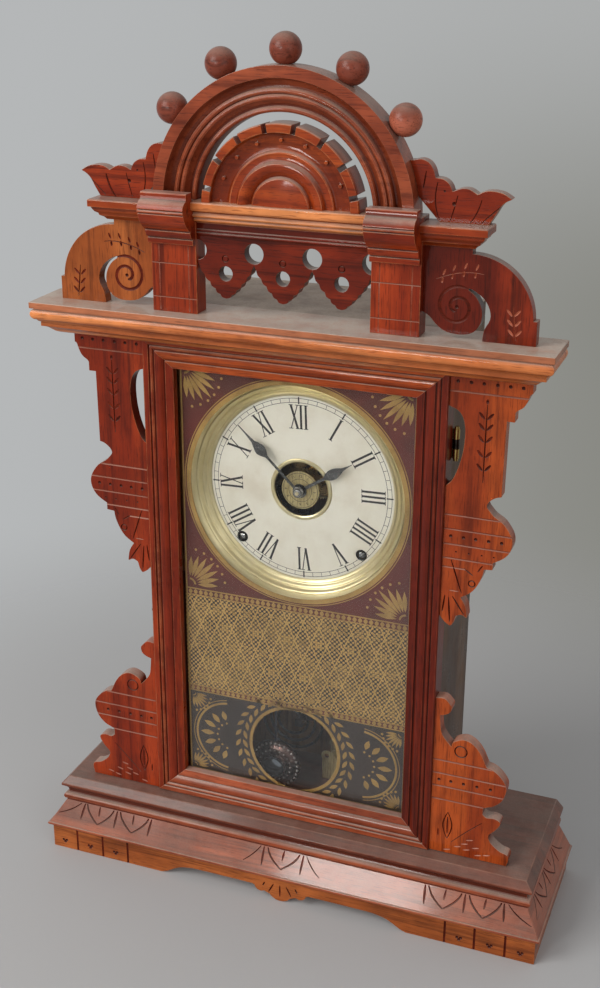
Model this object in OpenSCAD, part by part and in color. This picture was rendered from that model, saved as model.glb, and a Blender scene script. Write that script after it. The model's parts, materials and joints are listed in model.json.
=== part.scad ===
// Victorian walnut shelf clock with pierced pediment, hinged front door and a striking movement.
// Lengths in mm, floor at z = 0, front towards -Y. Depths (d_...) are counted forward from the back plane.

/* [Base] */
// Width of the apron
base_w = 380; // [300:1:460]
// Depth of the apron front from the back plane
base_d = 115.6; // [100:0.1:140]
// Height of the apron
apron_h = 20.3; // [16:0.1:26]
// Height of the whole base
base_h = 60.4; // [52:0.1:70]

/* [Case] */
// Width over the case sides
case_w = 208; // [170:1:240]
// Height of the case above the base
case_h = 377.9; // [340:0.1:420]
// Depth of the case front edges
case_d = 81.5; // [70:0.1:95]
// Thickness of the case boards
board_t = 9; // [7:0.5:12]
// Width of the cornice board
cornice_w = 350; // [300:1:380]
// Overhang of the cornice board in front of the case edges
cornice_out = 41.7; // [35:0.1:46]
// Height of the cornice with its board
cornice_h = 22.9; // [20:0.1:28]

/* [Door] */
// Width of the door
door_w = 212; // [190:1:230]
// Thickness of the door
door_t = 15.7; // [13:0.1:18]
// Width of the door stiles
stile_w = 21.3; // [19:0.1:26]
// Width of the door rails
rail_w = 20.3; // [19:0.1:26]
// Reach of the side brackets
bracket_w = 52; // [40:1:60]
// Height of the upper side brackets
upper_bracket_h = 175; // [150:1:190]
// Height of the lower side brackets
lower_bracket_h = 123.6; // [100:0.1:140]
// Thickness of the fretted boards
fret_t = 9; // [7:0.5:11]

/* [Pediment] */
// Width of the pediment columns
column_w = 31.3; // [26:0.1:36]
// Distance between the column centre lines
column_span = 147.1; // [130:0.1:170]
// Height of the column blocks
column_h = 72.7; // [66:0.1:80]
// Outer radius of the arch
arch_r = 85; // [76:0.5:90]
// Inner radius of the arch
arch_ri = 57.7; // [53:0.1:62]
// Outer radius of the half rosette
rosette_r = 51.5; // [44:0.5:53]
// Radius of the turned balls
ball_r = 9.8; // [8:0.1:11]

/* [Dial and movement] */
// Height of the dial centre above the floor
dial_z = 313; // [300:0.5:325]
// Outer radius of the bezel
bezel_r = 81.5; // [76:0.5:84]
// Visible radius of the dial paper
dial_r = 66.8; // [62:0.1:70]
// Half distance between the winding arbors
wind_x = 44; // [40:0.5:48]
// Length of the minute hand
minute_len = 61; // [52:0.5:64]
// Length of the hour hand
hour_len = 44; // [36:0.5:50]
// Angle of the minute hand from twelve, clockwise
minute_at = -46; // [-180:1:180]
// Angle of the hour hand from twelve, clockwise
hour_at = 57; // [-180:1:180]
// Sideways place of the pendulum
pend_x = -23; // [-34:0.5:-20]
// Distance from the pendulum pivot to the bob centre
pend_len = 254; // [240:1:262]
// Radius of the pendulum bob
bob_r = 19.5; // [16:0.1:20]
// Radius of the wire gong
gong_r = 27; // [24:1:28]

/* [Hidden] */
$fn = 48;
eps = 0.01;
d_front = 129.2;
back_y = d_front / 2;
case_z = base_h + case_h;
corn_z = case_z - cornice_h;
d_corn = case_d + cornice_out;
case_x = case_w / 2;
case_xi = case_x - board_t;
d_back0 = 2.4;
d_back1 = 8.4;
door_x = door_w / 2;
door_z0 = base_h + 0.5;
door_z1 = corn_z - 0.5;
d_door0 = case_d + 0.3;
d_door1 = d_door0 + door_t;
sec_k = stile_w / 21.3;
rail_k = rail_w / 21.3;
glass_d1 = d_door1 - 8.8;
glass_d0 = glass_d1 - 2;
d_brk1 = d_door1 - 2.3;
d_brk0 = d_brk1 - fret_t;
col_x0 = (column_span - column_w) / 2;
col_x1 = (column_span + column_w) / 2;
d_fret0 = d_corn - 26.2;
d_fret1 = d_fret0 + 8;
d_col0 = d_fret0;
d_col1 = d_corn - 12.4;
d_cap = d_corn - 9.9;
d_ros = d_corn - 22.9;
rail_z = case_z + column_h;
arch_z = rail_z - 2.2;
ros_z = rail_z - 1.5;
shelf_z = rail_z - 2.9;
hinge_x = door_x + 2.3;
hinge_d = case_d + 0.15;
hinge_zs = [corn_z - 52.4, base_h + 49.6];
latch_z = (door_z0 + lower_bracket_h + door_z1 - upper_bracket_h) / 2 - 3;
latch_d = case_d - 15.5;
d_plate0 = 14;
d_plate1 = 52;
plate_t = 1.5;
d_pan = case_d - 9.5;
d_face = d_pan + 2.5;
wind_z = dial_z - 42;
piv_z = dial_z + 25;
bob_z = piv_z - pend_len;
d_rod = 65;
ham_z = dial_z - 59;
gong_x = -26;
gong_z = bob_z + 18;
d_gong = 30;

// Smooth run through given points.
function blend(a, b, c, e, t) =
    0.5 * (2 * b + (c - a) * t + (2 * a - 5 * b + 4 * c - e) * t * t + (3 * b - 3 * c + e - a) * t * t * t);
function curve(p, n = 3) = let (k = len(p) - 1)
    concat([for (i = [0:k - 1]) for (j = [0:n - 1])
        blend(p[max(i - 1, 0)], p[i], p[i + 1], p[min(i + 2, k)], j / n)], [p[k]]);
function shift(p, a, b) = [for (q = p) [q[0] + a, q[1] + b]];
function grow(p, a, b) = [for (q = p) [q[0] * a, q[1] * b]];
function flip(p) = [for (q = p) [-q[0], q[1]]];
function arc(x, z, r, a0, a1, n) = [for (i = [0:n]) let (a = a0 + (a1 - a0) * i / n) [x + r * cos(a),
    z + r * sin(a)]];

// Outline in x and z, from depth d0 to depth d1.
module plate(d0, d1) {
    translate([0, back_y - d0, 0]) rotate([90, 0, 0]) linear_extrude(d1 - d0) children();
}
// Section of [depth, z] points, run along x.
module run_x(x0, x1, pts) {
    translate([x0, back_y, 0]) rotate([90, 0, 90]) linear_extrude(x1 - x0)
        polygon([for (p = pts) [-p[0], p[1]]]);
}
module block(x0, x1, d0, d1, z0, z1) {
    translate([x0, back_y - d1, z0]) cube([x1 - x0, d1 - d0, z1 - z0]);
}
module peg(x, z, d0, d1, r) {
    translate([x, back_y - d0, z]) rotate([90, 0, 0]) cylinder(h = d1 - d0, r = r);
}
module side_peg(x0, x1, d, z, r) {
    translate([x0, back_y - d, z]) rotate([0, 90, 0]) cylinder(h = x1 - x0, r = r);
}
// Profile of [radius, depth] points, turned about an axis along the depth.
module turned(x, z, pts, a = 360) {
    translate([x, back_y, z]) rotate([90, 0, 0]) rotate_extrude(angle = a, $fn = 96) polygon(pts);
}
module wire(x0, z0, x1, z1, d, r) {
    translate([x0, back_y - d, z0]) rotate([0, atan2(x1 - x0, z1 - z0), 0])
        cylinder(h = norm([x1 - x0, z1 - z0]), r = r);
}
module gear(n, m, a) {
    r = n * m / 2;
    p = 360 / n;
    polygon([for (i = [0:n - 1]) for (q = [[-0.26, r - 1.15 * m], [-0.11, r + 0.8 * m],
        [0.11, r + 0.8 * m], [0.26, r - 1.15 * m]])
        [q[1] * cos(a + p * (i + q[0])), q[1] * sin(a + p * (i + q[0]))]]);
}
// Mitred front length of a moulding with outline [outward, z] around a front of half width hx and depth dd.
module mould_front(hx, dd, pts, inner, z0, z1) {
    m = max([for (p = pts) p[0]]);
    intersection() {
        run_x(-hx - m - 1, hx + m + 1, shift(pts, dd, 0));
        translate([0, back_y, z0 - 1]) linear_extrude(z1 - z0 + 2)
            polygon([[-hx - m, -dd - m], [hx + m, -dd - m], [hx - inner, -dd + inner], [-hx + inner,
                -dd + inner]]);
    }
}
// Mitred right-hand length of the same moulding, back to depth d0.
module mould_side(hx, dd, pts, inner, z0, z1, d0) {
    m = max([for (p = pts) p[0]]);
    intersection() {
        plate(d0, dd + m + 1) polygon(shift(pts, hx, 0));
        translate([0, back_y, z0 - 1]) linear_extrude(z1 - z0 + 2)
            polygon([[hx + m, -dd - m], [hx + m, -d0], [hx - inner, -d0], [hx - inner, -dd + inner]]);
    }
}

// Base.
apron_t = 10;
module apron_front() color("#7a3a1c") {
    hx = base_w / 2;
    k = base_w / 380;
    foot = concat([[hx, 0], [97 * k, 0]],
        curve([[97 * k, 0], [92 * k, 1.8], [87 * k, 5], [80 * k, 8.2], [70 * k, 9.8], [60 * k, 10]]),
        [[22 * k, 10]], arc(15.5, 10, 5, 350, 235, 5), arc(0, 10, 10, 326, 270, 6));
    difference() {
        plate(base_d - apron_t, base_d)
            polygon(concat([[-hx, 0], [-hx, apron_h], [hx, apron_h]], foot,
                [for (i = [len(foot) - 1:-1:1]) [-foot[i][0], foot[i][1]]]));
        for (s = [0, 1]) mirror([s, 0, 0])
            translate([0, back_y, -1]) linear_extrude(apron_h + 2)
                polygon([[hx, -base_d], [hx + 1, -base_d], [hx + 1, -base_d + apron_t + 1],
                    [hx - apron_t - 1, -base_d + apron_t + 1]]);
    }
}
module apron_right() color("#6f3418") {
    hx = base_w / 2;
    translate([0, back_y, 0]) linear_extrude(apron_h)
        polygon([[hx, -base_d], [hx, 0], [hx - apron_t, 0], [hx - apron_t, -base_d + apron_t]]);
}
module apron_left() mirror([1, 0, 0]) apron_right();

base_in = 18;
slab_z = base_h - 7.7;
function base_pts() = let (k = (slab_z - apron_h) / 32.4) shift(grow([[-base_in, 0], [2.2, 0], [3, 0.7], [3,
    1.9],
    [2.4, 2.5], [1.5, 2.5], [-8.7, 19.1], [-8.7, 20], [-7.6, 20.6], [-6.9, 22.2], [-7.1, 23.8], [-8, 25],
    [-9.8, 25.6], [-10.2, 26.4], [-9.9, 28.4], [-8.8, 30.3], [-7.2, 31.6], [-6.4, 32.4], [-base_in, 32.4]],
    1, k), 0, apron_h);
module base_moulding_front() color("#8a4523") mould_front(base_w / 2, base_d, base_pts(), base_in, apron_h,
    slab_z);
module base_moulding_right() color("#7f3f20")
    mould_side(base_w / 2, base_d, base_pts(), base_in, apron_h, slab_z, 0);
module base_moulding_left() mirror([1, 0, 0]) base_moulding_right();
module base_top() color("#84401f") {
    hx = base_w / 2;
    intersection() {
        run_x(-hx, hx, [[0, slab_z], [base_d - 6, slab_z], [base_d - 6, slab_z + 1.8], [base_d - 10.4, base_h],
            [0, base_h]]);
        plate(-1, base_d) polygon([[-hx + 6, slab_z], [hx - 6, slab_z], [hx - 6, slab_z + 1.8], [hx - 11.4,
            base_h],
            [-hx + 11.4, base_h], [-hx + 6, slab_z + 1.8]]);
    }
}

// Case.
top_t = 11;
module case_side_right() color("#4a2414") difference() {
    block(case_xi, case_x, d_back0, case_d, base_h, case_z - top_t);
    for (z = hinge_zs) block(case_x - 8, case_x + 1, case_d - 0.75, case_d + 1, z - 10, z + 10);
}
module case_side_left() color("#4a2414") block(-case_x, -case_xi, d_back0, case_d, base_h, case_z - top_t);
module case_back() color("#6b4a30") block(-case_xi, case_xi, d_back0, d_back1, base_h, case_z - top_t);
module case_top() color("#5a3320") block(-case_x, case_x, d_back0, case_d, case_z - top_t, case_z);
corn_t = 4.3;
corn_in = 25;
module cornice_rail() color("#5a2c18")
    block(-cornice_w / 2 + corn_in, cornice_w / 2 - corn_in, case_d, d_corn - corn_in, corn_z, case_z - corn_t);
function corn_pts() = let (k = (cornice_h - corn_t) / 18.6) shift(grow([[-corn_in, 0], [-16, 0], [-14, 0.7],
    [-12, 1.7], [-10.6, 3], [-8.8, 4.6], [-7, 5.6], [-5.3, 6], [-5.3, 9], [-4.2, 9.5], [-3.4, 10.6], [-1.9,
    11.2],
    [-0.7, 12.6], [-0.2, 14.4], [-0.4, 16], [-1.2, 17.3], [-2.4, 18], [-2.4, 18.6], [-corn_in, 18.6]], 1, k),
    0, corn_z);
module cornice_moulding() color("#8a4523") {
    mould_front(cornice_w / 2, d_corn, corn_pts(), corn_in, corn_z, case_z);
    for (s = [0, 1]) mirror([s, 0, 0])
        mould_side(cornice_w / 2, d_corn, corn_pts(), corn_in, corn_z, case_z, case_d);
}
module cornice_board() color("#84401f") block(-cornice_w / 2, cornice_w / 2, case_d, d_corn,
    case_z - corn_t, case_z);

// Pediment.
module column_right() color("#7a3a1c") block(col_x0, col_x1, d_col0, d_col1, case_z, rail_z);
module column_left() mirror([1, 0, 0]) column_right();
module column_cap_right() color("#8f4a26")
    run_x(col_x0, col_x1, shift([[-2.5, -28], [1.4, -28], [1.9, -27.6], [2.1, -24.6], [1.3, -24.2], [1.3,
        -23.6],
        [3.7, -23.3], [5.6, -19.4], [5.1, -18.9], [5.1, -18.3], [7.2, -17.8], [8.9, -16.3], [10.8, -14.4],
        [12.7, -12.1],
        [14.1, -9.6], [14.9, -7.6], [14.5, -7.2], [14.6, -6.8], [15.6, -6.5], [15.9, -5.8], [15.6, -5.1],
        [14.9, -4.8],
        [14.9, -4.4], [15.8, -4.1], [15.5, -2.7], [14.8, -1.4], [13.7, -0.3], [12.4, 0.5], [11.1, 1], [10.4,
        1.7],
        [10.4, 4.9], [9.8, 5.6], [2.1, 5.6], [2.1, 0], [-2.5, 0]], d_cap, rail_z));
module column_cap_left() mirror([1, 0, 0]) column_cap_right();
module centre_rail() color("#84401f")
    run_x(-col_x0, col_x0, concat([[d_col0, rail_z - 14]], shift([[-4.3, -14], [-2.8, -12.8], [-0.5, -12.4],
        [0.3, -11.5],
        [-0.5, -10.6], [-1.1, -10.2], [1.2, -9.8], [2.3, -8.8], [1.3, -7.6], [0.5, -6.8], [1.1, -6],
        [3.3, -5.6], [4.3, -4.8], [4.7, -4], [4.7, -0.7], [4.1, 0]], d_cap, rail_z), [[d_col0, rail_z]]));
pitch = col_x0 / 1.5;
module frieze() color("#7a3a1c") {
    k = pitch / 38.6;
    half = grow(concat(curve([[0, -61], [2.7, -60.3], [4, -58.4]], 3),
        curve([[4, -58.4], [6.3, -57.4], [7.3, -55]], 2), curve([[7.3, -55], [9.9, -53.6], [10.9, -50.9]], 2),
        curve([[10.9, -50.9], [13.5, -49.3], [14.6, -46.3]], 2), curve([[14.6, -46.3], [17, -44.2], [18,
            -40.9]], 2),
        [[19.3, -38.6]]), k, 1);
    drop = concat([for (i = [len(half) - 1:-1:1]) [-half[i][0], half[i][1]]],
        [for (i = [0:len(half) - 2]) half[i]]);
    edge = concat(shift(drop, -pitch, rail_z), shift(drop, 0, rail_z), shift(drop, pitch, rail_z),
        [[col_x0, rail_z - 38.6]]);
    difference() {
        plate(d_fret0 + 4, d_fret1 + 4)
            polygon(concat(edge, [[col_x0, rail_z - 14], [-col_x0, rail_z - 14]]));
        for (i = [-1:1]) peg(i * pitch, rail_z - 45, d_fret0, d_fret1 + 5, 4.7 * k);
        for (i = [-1.5:1:1.5]) peg(i * pitch, rail_z - 31, d_fret0, d_fret1 + 5, 6.4 * k);
    }
    for (z = [18.6, 20.7]) side_peg(-col_x0, col_x0, d_fret1 + 4, rail_z - z, 0.9);
}
module end_shelf_right() color("#8a4523") {
    x1 = col_x1 + 40.8;
    pts = [[-30, -16.5], [-9, -16.5], [-7.6, -14.8], [-5.4, -13.6], [-5, -12.2], [-3.2, -11], [-2.2, -9.4],
        [-1.4, -7.7],
        [0, -7.7], [0, -3.6], [-0.6, -2.9], [-30, -2.9]];
    intersection() {
        run_x(col_x1, x1 + 1, concat([[d_fret0, rail_z - 16.5]], shift([for (i = [1:10]) pts[i]],
            d_corn - 5.2, rail_z),
            [[d_fret0, rail_z - 2.9]]));
        plate(d_fret0 - 1, d_corn) polygon(concat([[col_x1 - 1, rail_z - 16.5]],
            shift([for (i = [1:10]) pts[i]], x1, rail_z), [[col_x1 - 1, rail_z - 2.9]]));
    }
}
module end_shelf_left() mirror([1, 0, 0]) end_shelf_right();
module scroll_wing_right() color("#7a3a1c") {
    outer = concat([[37.8, 0], [70.3, 0], [70.3, 15.2], [67.9, 15.2]], arc(29.3, 13.7, 38.6, 3, 90, 24),
        [[29.3, 56.2], [0, 56.2], [0, 15]]);
    scroll = curve([[0, 15], [4.5, 12.4], [8.6, 8], [14, 4.3], [20.8, 2.9], [27.4, 3.3], [32, 5.2], [35, 8.6],
        [36.6, 13], [36.6, 18.6], [34.8, 23.6], [31.6, 27.8], [28, 30.4]]);
    slot = curve([[28, 31.6], [31.8, 30.2], [37.8, 25.7], [41.3, 19.7], [41.8, 13.7], [38.8, 7.7], [37.8,
        1.7]]);
    plate(d_fret0, d_fret1) polygon(shift(grow(concat(outer, scroll, slot), 1, (column_h - 16.5) / 56.2),
        col_x1, case_z));
}
module scroll_wing_left() mirror([1, 0, 0]) scroll_wing_right();
module leaf_crest_right() color("#7a3a1c") {
    x = col_x1 - 89.2;
    r = arch_r + 0.15;
    edge = concat([[97.3, -2.9], [127.2, -2.9]], curve([[127.2, -2.7], [130.8, 3], [133.6, 8], [136.8, 11],
        [140, 12.6]]),
        curve([[139.8, 12.9], [135, 15.7], [129.4, 16.8], [124.2, 16.4], [119.6, 14.3]]),
        curve([[119.4, 14.4], [114.6, 17], [109.4, 17], [104.8, 15]]),
        curve([[104.6, 15.2], [102.8, 19], [99, 21.8], [94.2, 22.4]]),
        curve([[94, 22.6], [92.6, 27.2], [89.6, 31], [85.2, 32.6], [80.6, 31.8]]));
    a1 = asin((31.6 + rail_z - arch_z) / r);
    a0 = asin((11 + rail_z - arch_z) / r);
    plate(d_fret0, d_fret1)
        polygon(concat(shift(edge, x, rail_z), arc(0, arch_z, r, a1, a0, 8)));
}
module leaf_crest_left() mirror([1, 0, 0]) leaf_crest_right();
module above_rail() intersection() {
    children();
    translate([-200, -100, rail_z]) cube(200 * [2, 1, 1]);
}
module arch() color("#84401f") {
    k = (arch_r - arch_ri) / 27.3;
    above_rail() turned(0, arch_z, [for (p = [[27.3, 0], [27.3, 18], [20.1, 18], [19.7, 16], [18.7, 13.6],
        [17.3, 12.1],
        [15.7, 11.6], [14.7, 12], [14.4, 13.9], [13.7, 15], [12.4, 15.6], [11.4, 15], [11, 14], [10.7,
        13.6], [10.4, 14],
        [9.8, 14.8], [8.8, 15.1], [7.7, 14.5], [7.1, 13.2], [5.2, 11], [4.5, 10.3], [3.7, 10.3], [3.3, 11.3],
        [2.6, 12.5], [1.4, 12.9], [0.5, 12.4], [0, 11.4], [0, 0]]) [arch_ri + p[0] * k, d_fret0 + p[1]]], 180);
}
module rosette() color("#8a4523") {
    k = rosette_r / 51.5;
    difference() {
        above_rail() turned(0, ros_z, [for (p = [[0, 0.2], [51.5, 0.2], [51.5, 15], [50.9, 15.8], [46.2, 15.8],
            [45.7, 15.2], [45.7, 11.6], [44, 10.6], [41, 10], [38, 9.8], [36, 10], [34.8, 10.6], [34.3, 11.8],
            [33.6, 12.1], [29.6, 11.6], [29.1, 12], [28.6, 13.4], [27.4, 14.6], [25.6, 15], [23.6, 14.5],
            [21.6, 13],
            [20.4, 11.6], [19.8, 11.3], [19.3, 11.7], [18.9, 12.8], [18.2, 13.4], [16.8, 13.6], [9, 14.6],
            [0, 15]])
            [p[0] * k, d_ros + p[1]]], 180);
        for (a = [-77.7:22.2:77.7]) translate([0, back_y, ros_z]) rotate([0, a, 0])
            translate([-1.6, -d_ros - 17, 45.9 * k]) cube([3.2, 18, 9]);
    }
    for (a = [-66.6:22.2:66.6])
        peg(41.2 * k * sin(a), ros_z + 41.2 * k * cos(a), d_ros + 9.6, d_ros + 12, 1.1);
}
module arch_balls() color("#8f4a26") for (a = [-53:26.5:53])
    translate([0, back_y - d_fret0 - 7, arch_z]) rotate([0, a, 0]) translate([0, 0,
        arch_r + 8.6]) difference() {
        sphere(ball_r);
        translate([-ball_r, -ball_r, -ball_r - 8.4]) cube([2 * ball_r, 2 * ball_r, ball_r]);
    }

// Door, with its side brackets.
door_sec = [[0, 0], [0, 14.9], [0.8, 15.7], [4.4, 15.7], [4.7, 14.6], [5.3, 14.6], [5.6, 15.3], [6.5, 15.7],
    [7.4, 15.3],
    [7.9, 14.5], [8.6, 14.5], [9, 15.1], [10.4, 15.5], [12, 15.2], [13.4, 14.3], [14.6, 13.6], [15.1, 12.9],
    [15.7, 12.9],
    [16, 13.9], [21.3, 12.5], [21.3, 6.9], [17, 6.9], [17, 0]];
function door_dep(v) = d_door0 + v * door_t / 15.7;
module door_stile() intersection() {
    translate([0, back_y, door_z0]) linear_extrude(door_z1 - door_z0)
        polygon([for (p = door_sec) [door_x - p[0] * sec_k, -door_dep(p[1])]]);
    plate(d_door0 - 1, d_door1 + 1) polygon([[door_x, door_z0], [door_x, door_z1],
        [door_x - stile_w, door_z1 - rail_w], [door_x - stile_w, door_z0 + rail_w]]);
}
module door_stile_right() color("#7a3a1c") difference() {
    door_stile();
    for (z = hinge_zs) block(door_x - 12, door_x + 1, d_door0 - 1, d_door0 + 0.75, z - 10, z + 10);
}
module door_stile_left() color("#7a3a1c") mirror([1, 0, 0]) door_stile();
module door_rail(s) {
    z0 = s > 0 ? door_z0 : door_z1;
    intersection() {
        run_x(-door_x, door_x, [for (p = door_sec) [door_dep(p[1]), z0 + s * p[0] * rail_k]]);
        plate(d_door0 - 1, d_door1 + 1) polygon([[-door_x, z0], [door_x, z0],
            [door_x - stile_w, z0 + s * rail_w], [-door_x + stile_w, z0 + s * rail_w]]);
    }
}
module door_rail_top() color("#84401f") door_rail(-1);
module door_rail_bottom() color("#84401f") door_rail(1);
module door_glass() color([0.8, 0.85, 0.85, 0.35])
    block(-door_x + 17 * sec_k, door_x - 17 * sec_k, door_dep(6.9) - 2, door_dep(6.9), door_z0 + 17 * rail_k,
        door_z1 - 17 * rail_k);
module upper_bracket_right() color("#7a3a1c") {
    edge = concat([[0, 0], [52, 0]], curve([[52, -9], [50.5, -10], [49.5, -13], [47, -18], [43, -21], [42,
        -22.5]]),
        [[42, -28.5], [37, -28.5]], curve([[36.5, -79], [33, -80], [29, -83], [27.5, -86.5], [30, -90], [33,
        -93], [39, -97],
        [44, -104], [45.5, -110], [44, -116], [40, -121], [33.5, -125]]), [[33.5, -130]],
        curve([[28, -130.5], [27, -136], [24, -143], [20, -148.5], [13.5, -153]]),
        curve([[13.7, -153.4], [17, -159], [18.5, -167]]), curve([[18.3, -167.2], [14.5, -165.5], [11, -167]]),
        curve([[10.8, -167.2], [9.5, -172], [7.5, -175]]), curve([[7.3, -174.9], [3.5, -172.5], [0, -168.5]]),
        curve([[0, -76], [4, -72], [8, -62], [10.5, -50], [11, -38], [9.5, -30], [6, -25], [0, -22.5]]));
    plate(d_brk0, d_brk1) polygon(shift(grow(edge, bracket_w / 52, upper_bracket_h / 175), door_x, door_z1));
}
module upper_bracket_left() mirror([1, 0, 0]) upper_bracket_right();
module lower_bracket_right() color("#7a3a1c") {
    edge = concat([[0, 0]], curve([[0, 123.1], [6, 123.6], [10, 120.1], [11.5, 117.6], [10.5, 113.6], [7,
        111.1],
        [3.5, 110.1]]), curve([[3.6, 109.8], [4, 104.1], [5, 97.1], [8, 92.1], [12.5, 87.1]]),
        curve([[12.6, 87.4], [14, 91.1], [20, 94.1], [25, 93.6], [30, 90.1], [34, 84.6], [36.5, 79.1], [38,
            76.1]]),
        curve([[38.3, 76], [43, 74.6], [48, 70.6], [52, 64.6], [52, 58.1], [49.5, 51.6], [44.5, 46.6], [40,
            44.6],
        [37, 43.1]]), curve([[37, 38.1], [40, 36.1], [45, 36.6], [49, 35.1], [49.5, 32.1], [46, 26.6], [42,
        22.1],
        [43, 17.6], [46, 14.1], [51, 10.6], [56, 9.1], [57, 5.1], [56, 1.1]]), [[56, 0]]);
    plate(d_brk0, d_brk1) polygon(shift(grow(edge, bracket_w / 52, lower_bracket_h / 123.6), door_x, door_z0));
}
module lower_bracket_left() mirror([1, 0, 0]) lower_bracket_right();

// Hinges and catch.
module post(z0, z1, r) translate([hinge_x, back_y - hinge_d, z0]) cylinder(h = z1 - z0, r = r);
module door_hardware() color("#3a3028") {
    difference() {
        for (z = hinge_zs) {
            block(door_x - 12, door_x - 0.2, d_door0, d_door0 + 0.75, z - 10, z + 10);
            block(door_x - 0.3, hinge_x - 1.2, d_door0, d_door0 + 0.75, z - 3.2, z + 3.2);
            post(z - 3.2, z + 3.2, 2.15);
        }
        for (z = hinge_zs) post(z - 12, z + 12, 1.06);
    }
    side_peg(-door_x - 3.2, -door_x, latch_d + 24, latch_z, 1.2);
}
module case_hardware() color("#b08d4a") {
    for (z = hinge_zs) {
        block(case_x - 8, door_x - 0.2, case_d - 0.75, case_d, z - 10, z + 10);
        for (s = [-1, 1]) {
            a = s > 0 ? 3.4 : -10;
            block(door_x - 0.3, hinge_x - 1.2, case_d - 0.75, case_d, z + a, z + a + 6.6);
            post(z + a, z + a + 6.6, 2.15);
        }
        post(z - 11, z + 11, 1);
        for (a = [-11.6, 10]) post(z + a, z + a + 1.6, 1.6);
    }
    side_peg(-case_x - 2.3, -case_x, latch_d, latch_z, 3);
    side_peg(-case_x - 4.6, -case_x - 2.2, latch_d, latch_z, 1.5);
    side_peg(-case_x - 4.8, -case_x - 3.8, latch_d, latch_z, 2.7);
}
module latch_hook() color("#b08d4a") difference() {
    run_x(-case_x - 3.6, -case_x - 2.4, shift([[-3, 2.5], [-2.2, 3.6], [2.2, 3.6], [3, 2.5], [3, -22.6],
        [-1.4, -22.6],
        [-1.4, -25.4], [3, -25.4], [3, -28.5], [1.6, -30], [-1.6, -30], [-3, -28.5]], latch_d, latch_z));
    side_peg(-case_x - 4, -case_x - 2, latch_d, latch_z, 1.55);
}

// Dial.
module dial_blocks() color("#8a6a48") for (s = [0, 1]) mirror([s, 0, 0])
    block(72, case_xi, d_pan - 12, d_pan, dial_z - 78, dial_z + 78);
module dial_pan() color("#8d8f8c") difference() {
    peg(0, dial_z, d_pan, d_face, bezel_r, $fn = 96);
    peg(0, dial_z, d_pan - 1, d_face + 1, 19.5);
    for (s = [-1, 1]) peg(s * wind_x, wind_z, d_pan - 1, d_face + 1, 4.5);
}
module dial_paper() color("#dcd6c4") difference() {
    peg(0, dial_z, d_face, d_face + 0.3, dial_r - 0.1, $fn = 96);
    peg(0, dial_z, d_face - 1, d_face + 1, 22.3);
    for (s = [-1, 1]) peg(s * wind_x, wind_z, d_face - 1, d_face + 1, 4.1);
}
module bezel() color("#b8974e") {
    k = (bezel_r - dial_r) / 14.7;
    turned(0, dial_z, [for (p = [[0, 0], [0, 1.1], [0.8, 1.9], [1.7, 2.4], [2.6, 1.8], [3.2, 2.1], [4.2,
        3.3], [5, 3.9],
        [5.8, 3.4], [6.4, 3.9], [7.6, 5.7], [8.4, 6.3], [9.2, 5.9], [10.6, 7.5], [11.6, 8.9], [12.6, 9.4],
        [13.6, 9.1],
        [14.7, 7.9], [14.7, 0]]) [dial_r + p[0] * k, d_face + p[1]]]);
    turned(0, dial_z, [for (p = [[19.5, 0], [22.2, 0], [22.2, 0.7], [21.5, 1.3], [20.2, 1.3], [19.5, 0.8]])
        [p[0], d_face + p[1]]]);
}

// Movement.
module movement_frame() color("#b08d4a") {
    for (d = [d_plate0, d_plate1]) difference() {
        plate(d, d + plate_t) translate([0, dial_z]) polygon([[-76, -68], [76, -68], [64, 40], [-64, 40]]);
        plate(d - 1, d + 4) translate([0, dial_z]) polygon([[-16, -48], [16, -48], [16, -12], [-16, -12]]);
        for (s = [-1, 1]) plate(d - 1, d + 4) translate([0, dial_z])
            polygon([[s * 52, -18], [s * 36, -18], [s * 36, 20], [s * 52, 20]]);
        plate(d - 1, d + 4) translate([0, dial_z]) polygon([[-8, 18], [30, 18], [30, 32], [-8, 32]]);
        peg(0, dial_z, d - 1, d + 4, 1.25);
        peg(0, ham_z, d - 1, d + 4, 1.25);
        for (s = [-1, 1]) peg(s * wind_x, wind_z, d - 1, d + 4, 2.25);
    }
    for (p = [[-70, -62], [70, -62], [-58, 34], [58, 34]]) {
        peg(p[0], dial_z + p[1], d_back1, d_plate0, 4);
        peg(p[0], dial_z + p[1], d_plate0 + plate_t, d_plate1, 3);
        peg(p[0], dial_z + p[1], d_plate1 + plate_t, d_plate1 + 4, 3);
    }
    peg(pend_x, piv_z, d_plate1 + plate_t, 67.2, 1);
    peg(pend_x, piv_z, 66.3, 67.4, 2);
    peg(8.485, dial_z + 8.485, d_plate1 + plate_t, 61, 1);
    peg(8.485, dial_z + 8.485, 60.2, 61, 1.8);
}
module centre_arbor() color("#b8974e") {
    peg(0, dial_z, 12.5, 84.2, 1.2);
    plate(40, 41.5) translate([0, dial_z]) gear(64, 0.6, 0);
    plate(55, 57.5) translate([0, dial_z]) gear(12, 0.5, 45);
}
module hand(d, t, a, r, bore, pts) {
    half = pts;
    difference() {
        translate([0, back_y - d, dial_z]) rotate([90, 0, 0]) linear_extrude(t) rotate(-a) union() {
            circle(r);
            polygon(concat(half, flip([for (i = [len(half) - 1:-1:0]) half[i]])));
        }
        peg(0, dial_z, d - 1, d + t + 1, bore);
    }
}
module minute_hand() color("#1d1a1a") {
    k = minute_len / 61;
    hand(80, 0.7, minute_at, 4, 1.2, concat([[1, 0], [0.7, 30 * k]], curve([[1, 32.5 * k], [3, 35.6 * k],
        [4, 39 * k],
        [2.8, 42.6 * k], [1.1, 46 * k]]), [[0.5, 52 * k], [0.15, 61 * k]]));
    difference() {
        peg(0, dial_z, 80.7, 83, 3.2);
        peg(0, dial_z, 80, 84, 1.2);
    }
}
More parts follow.
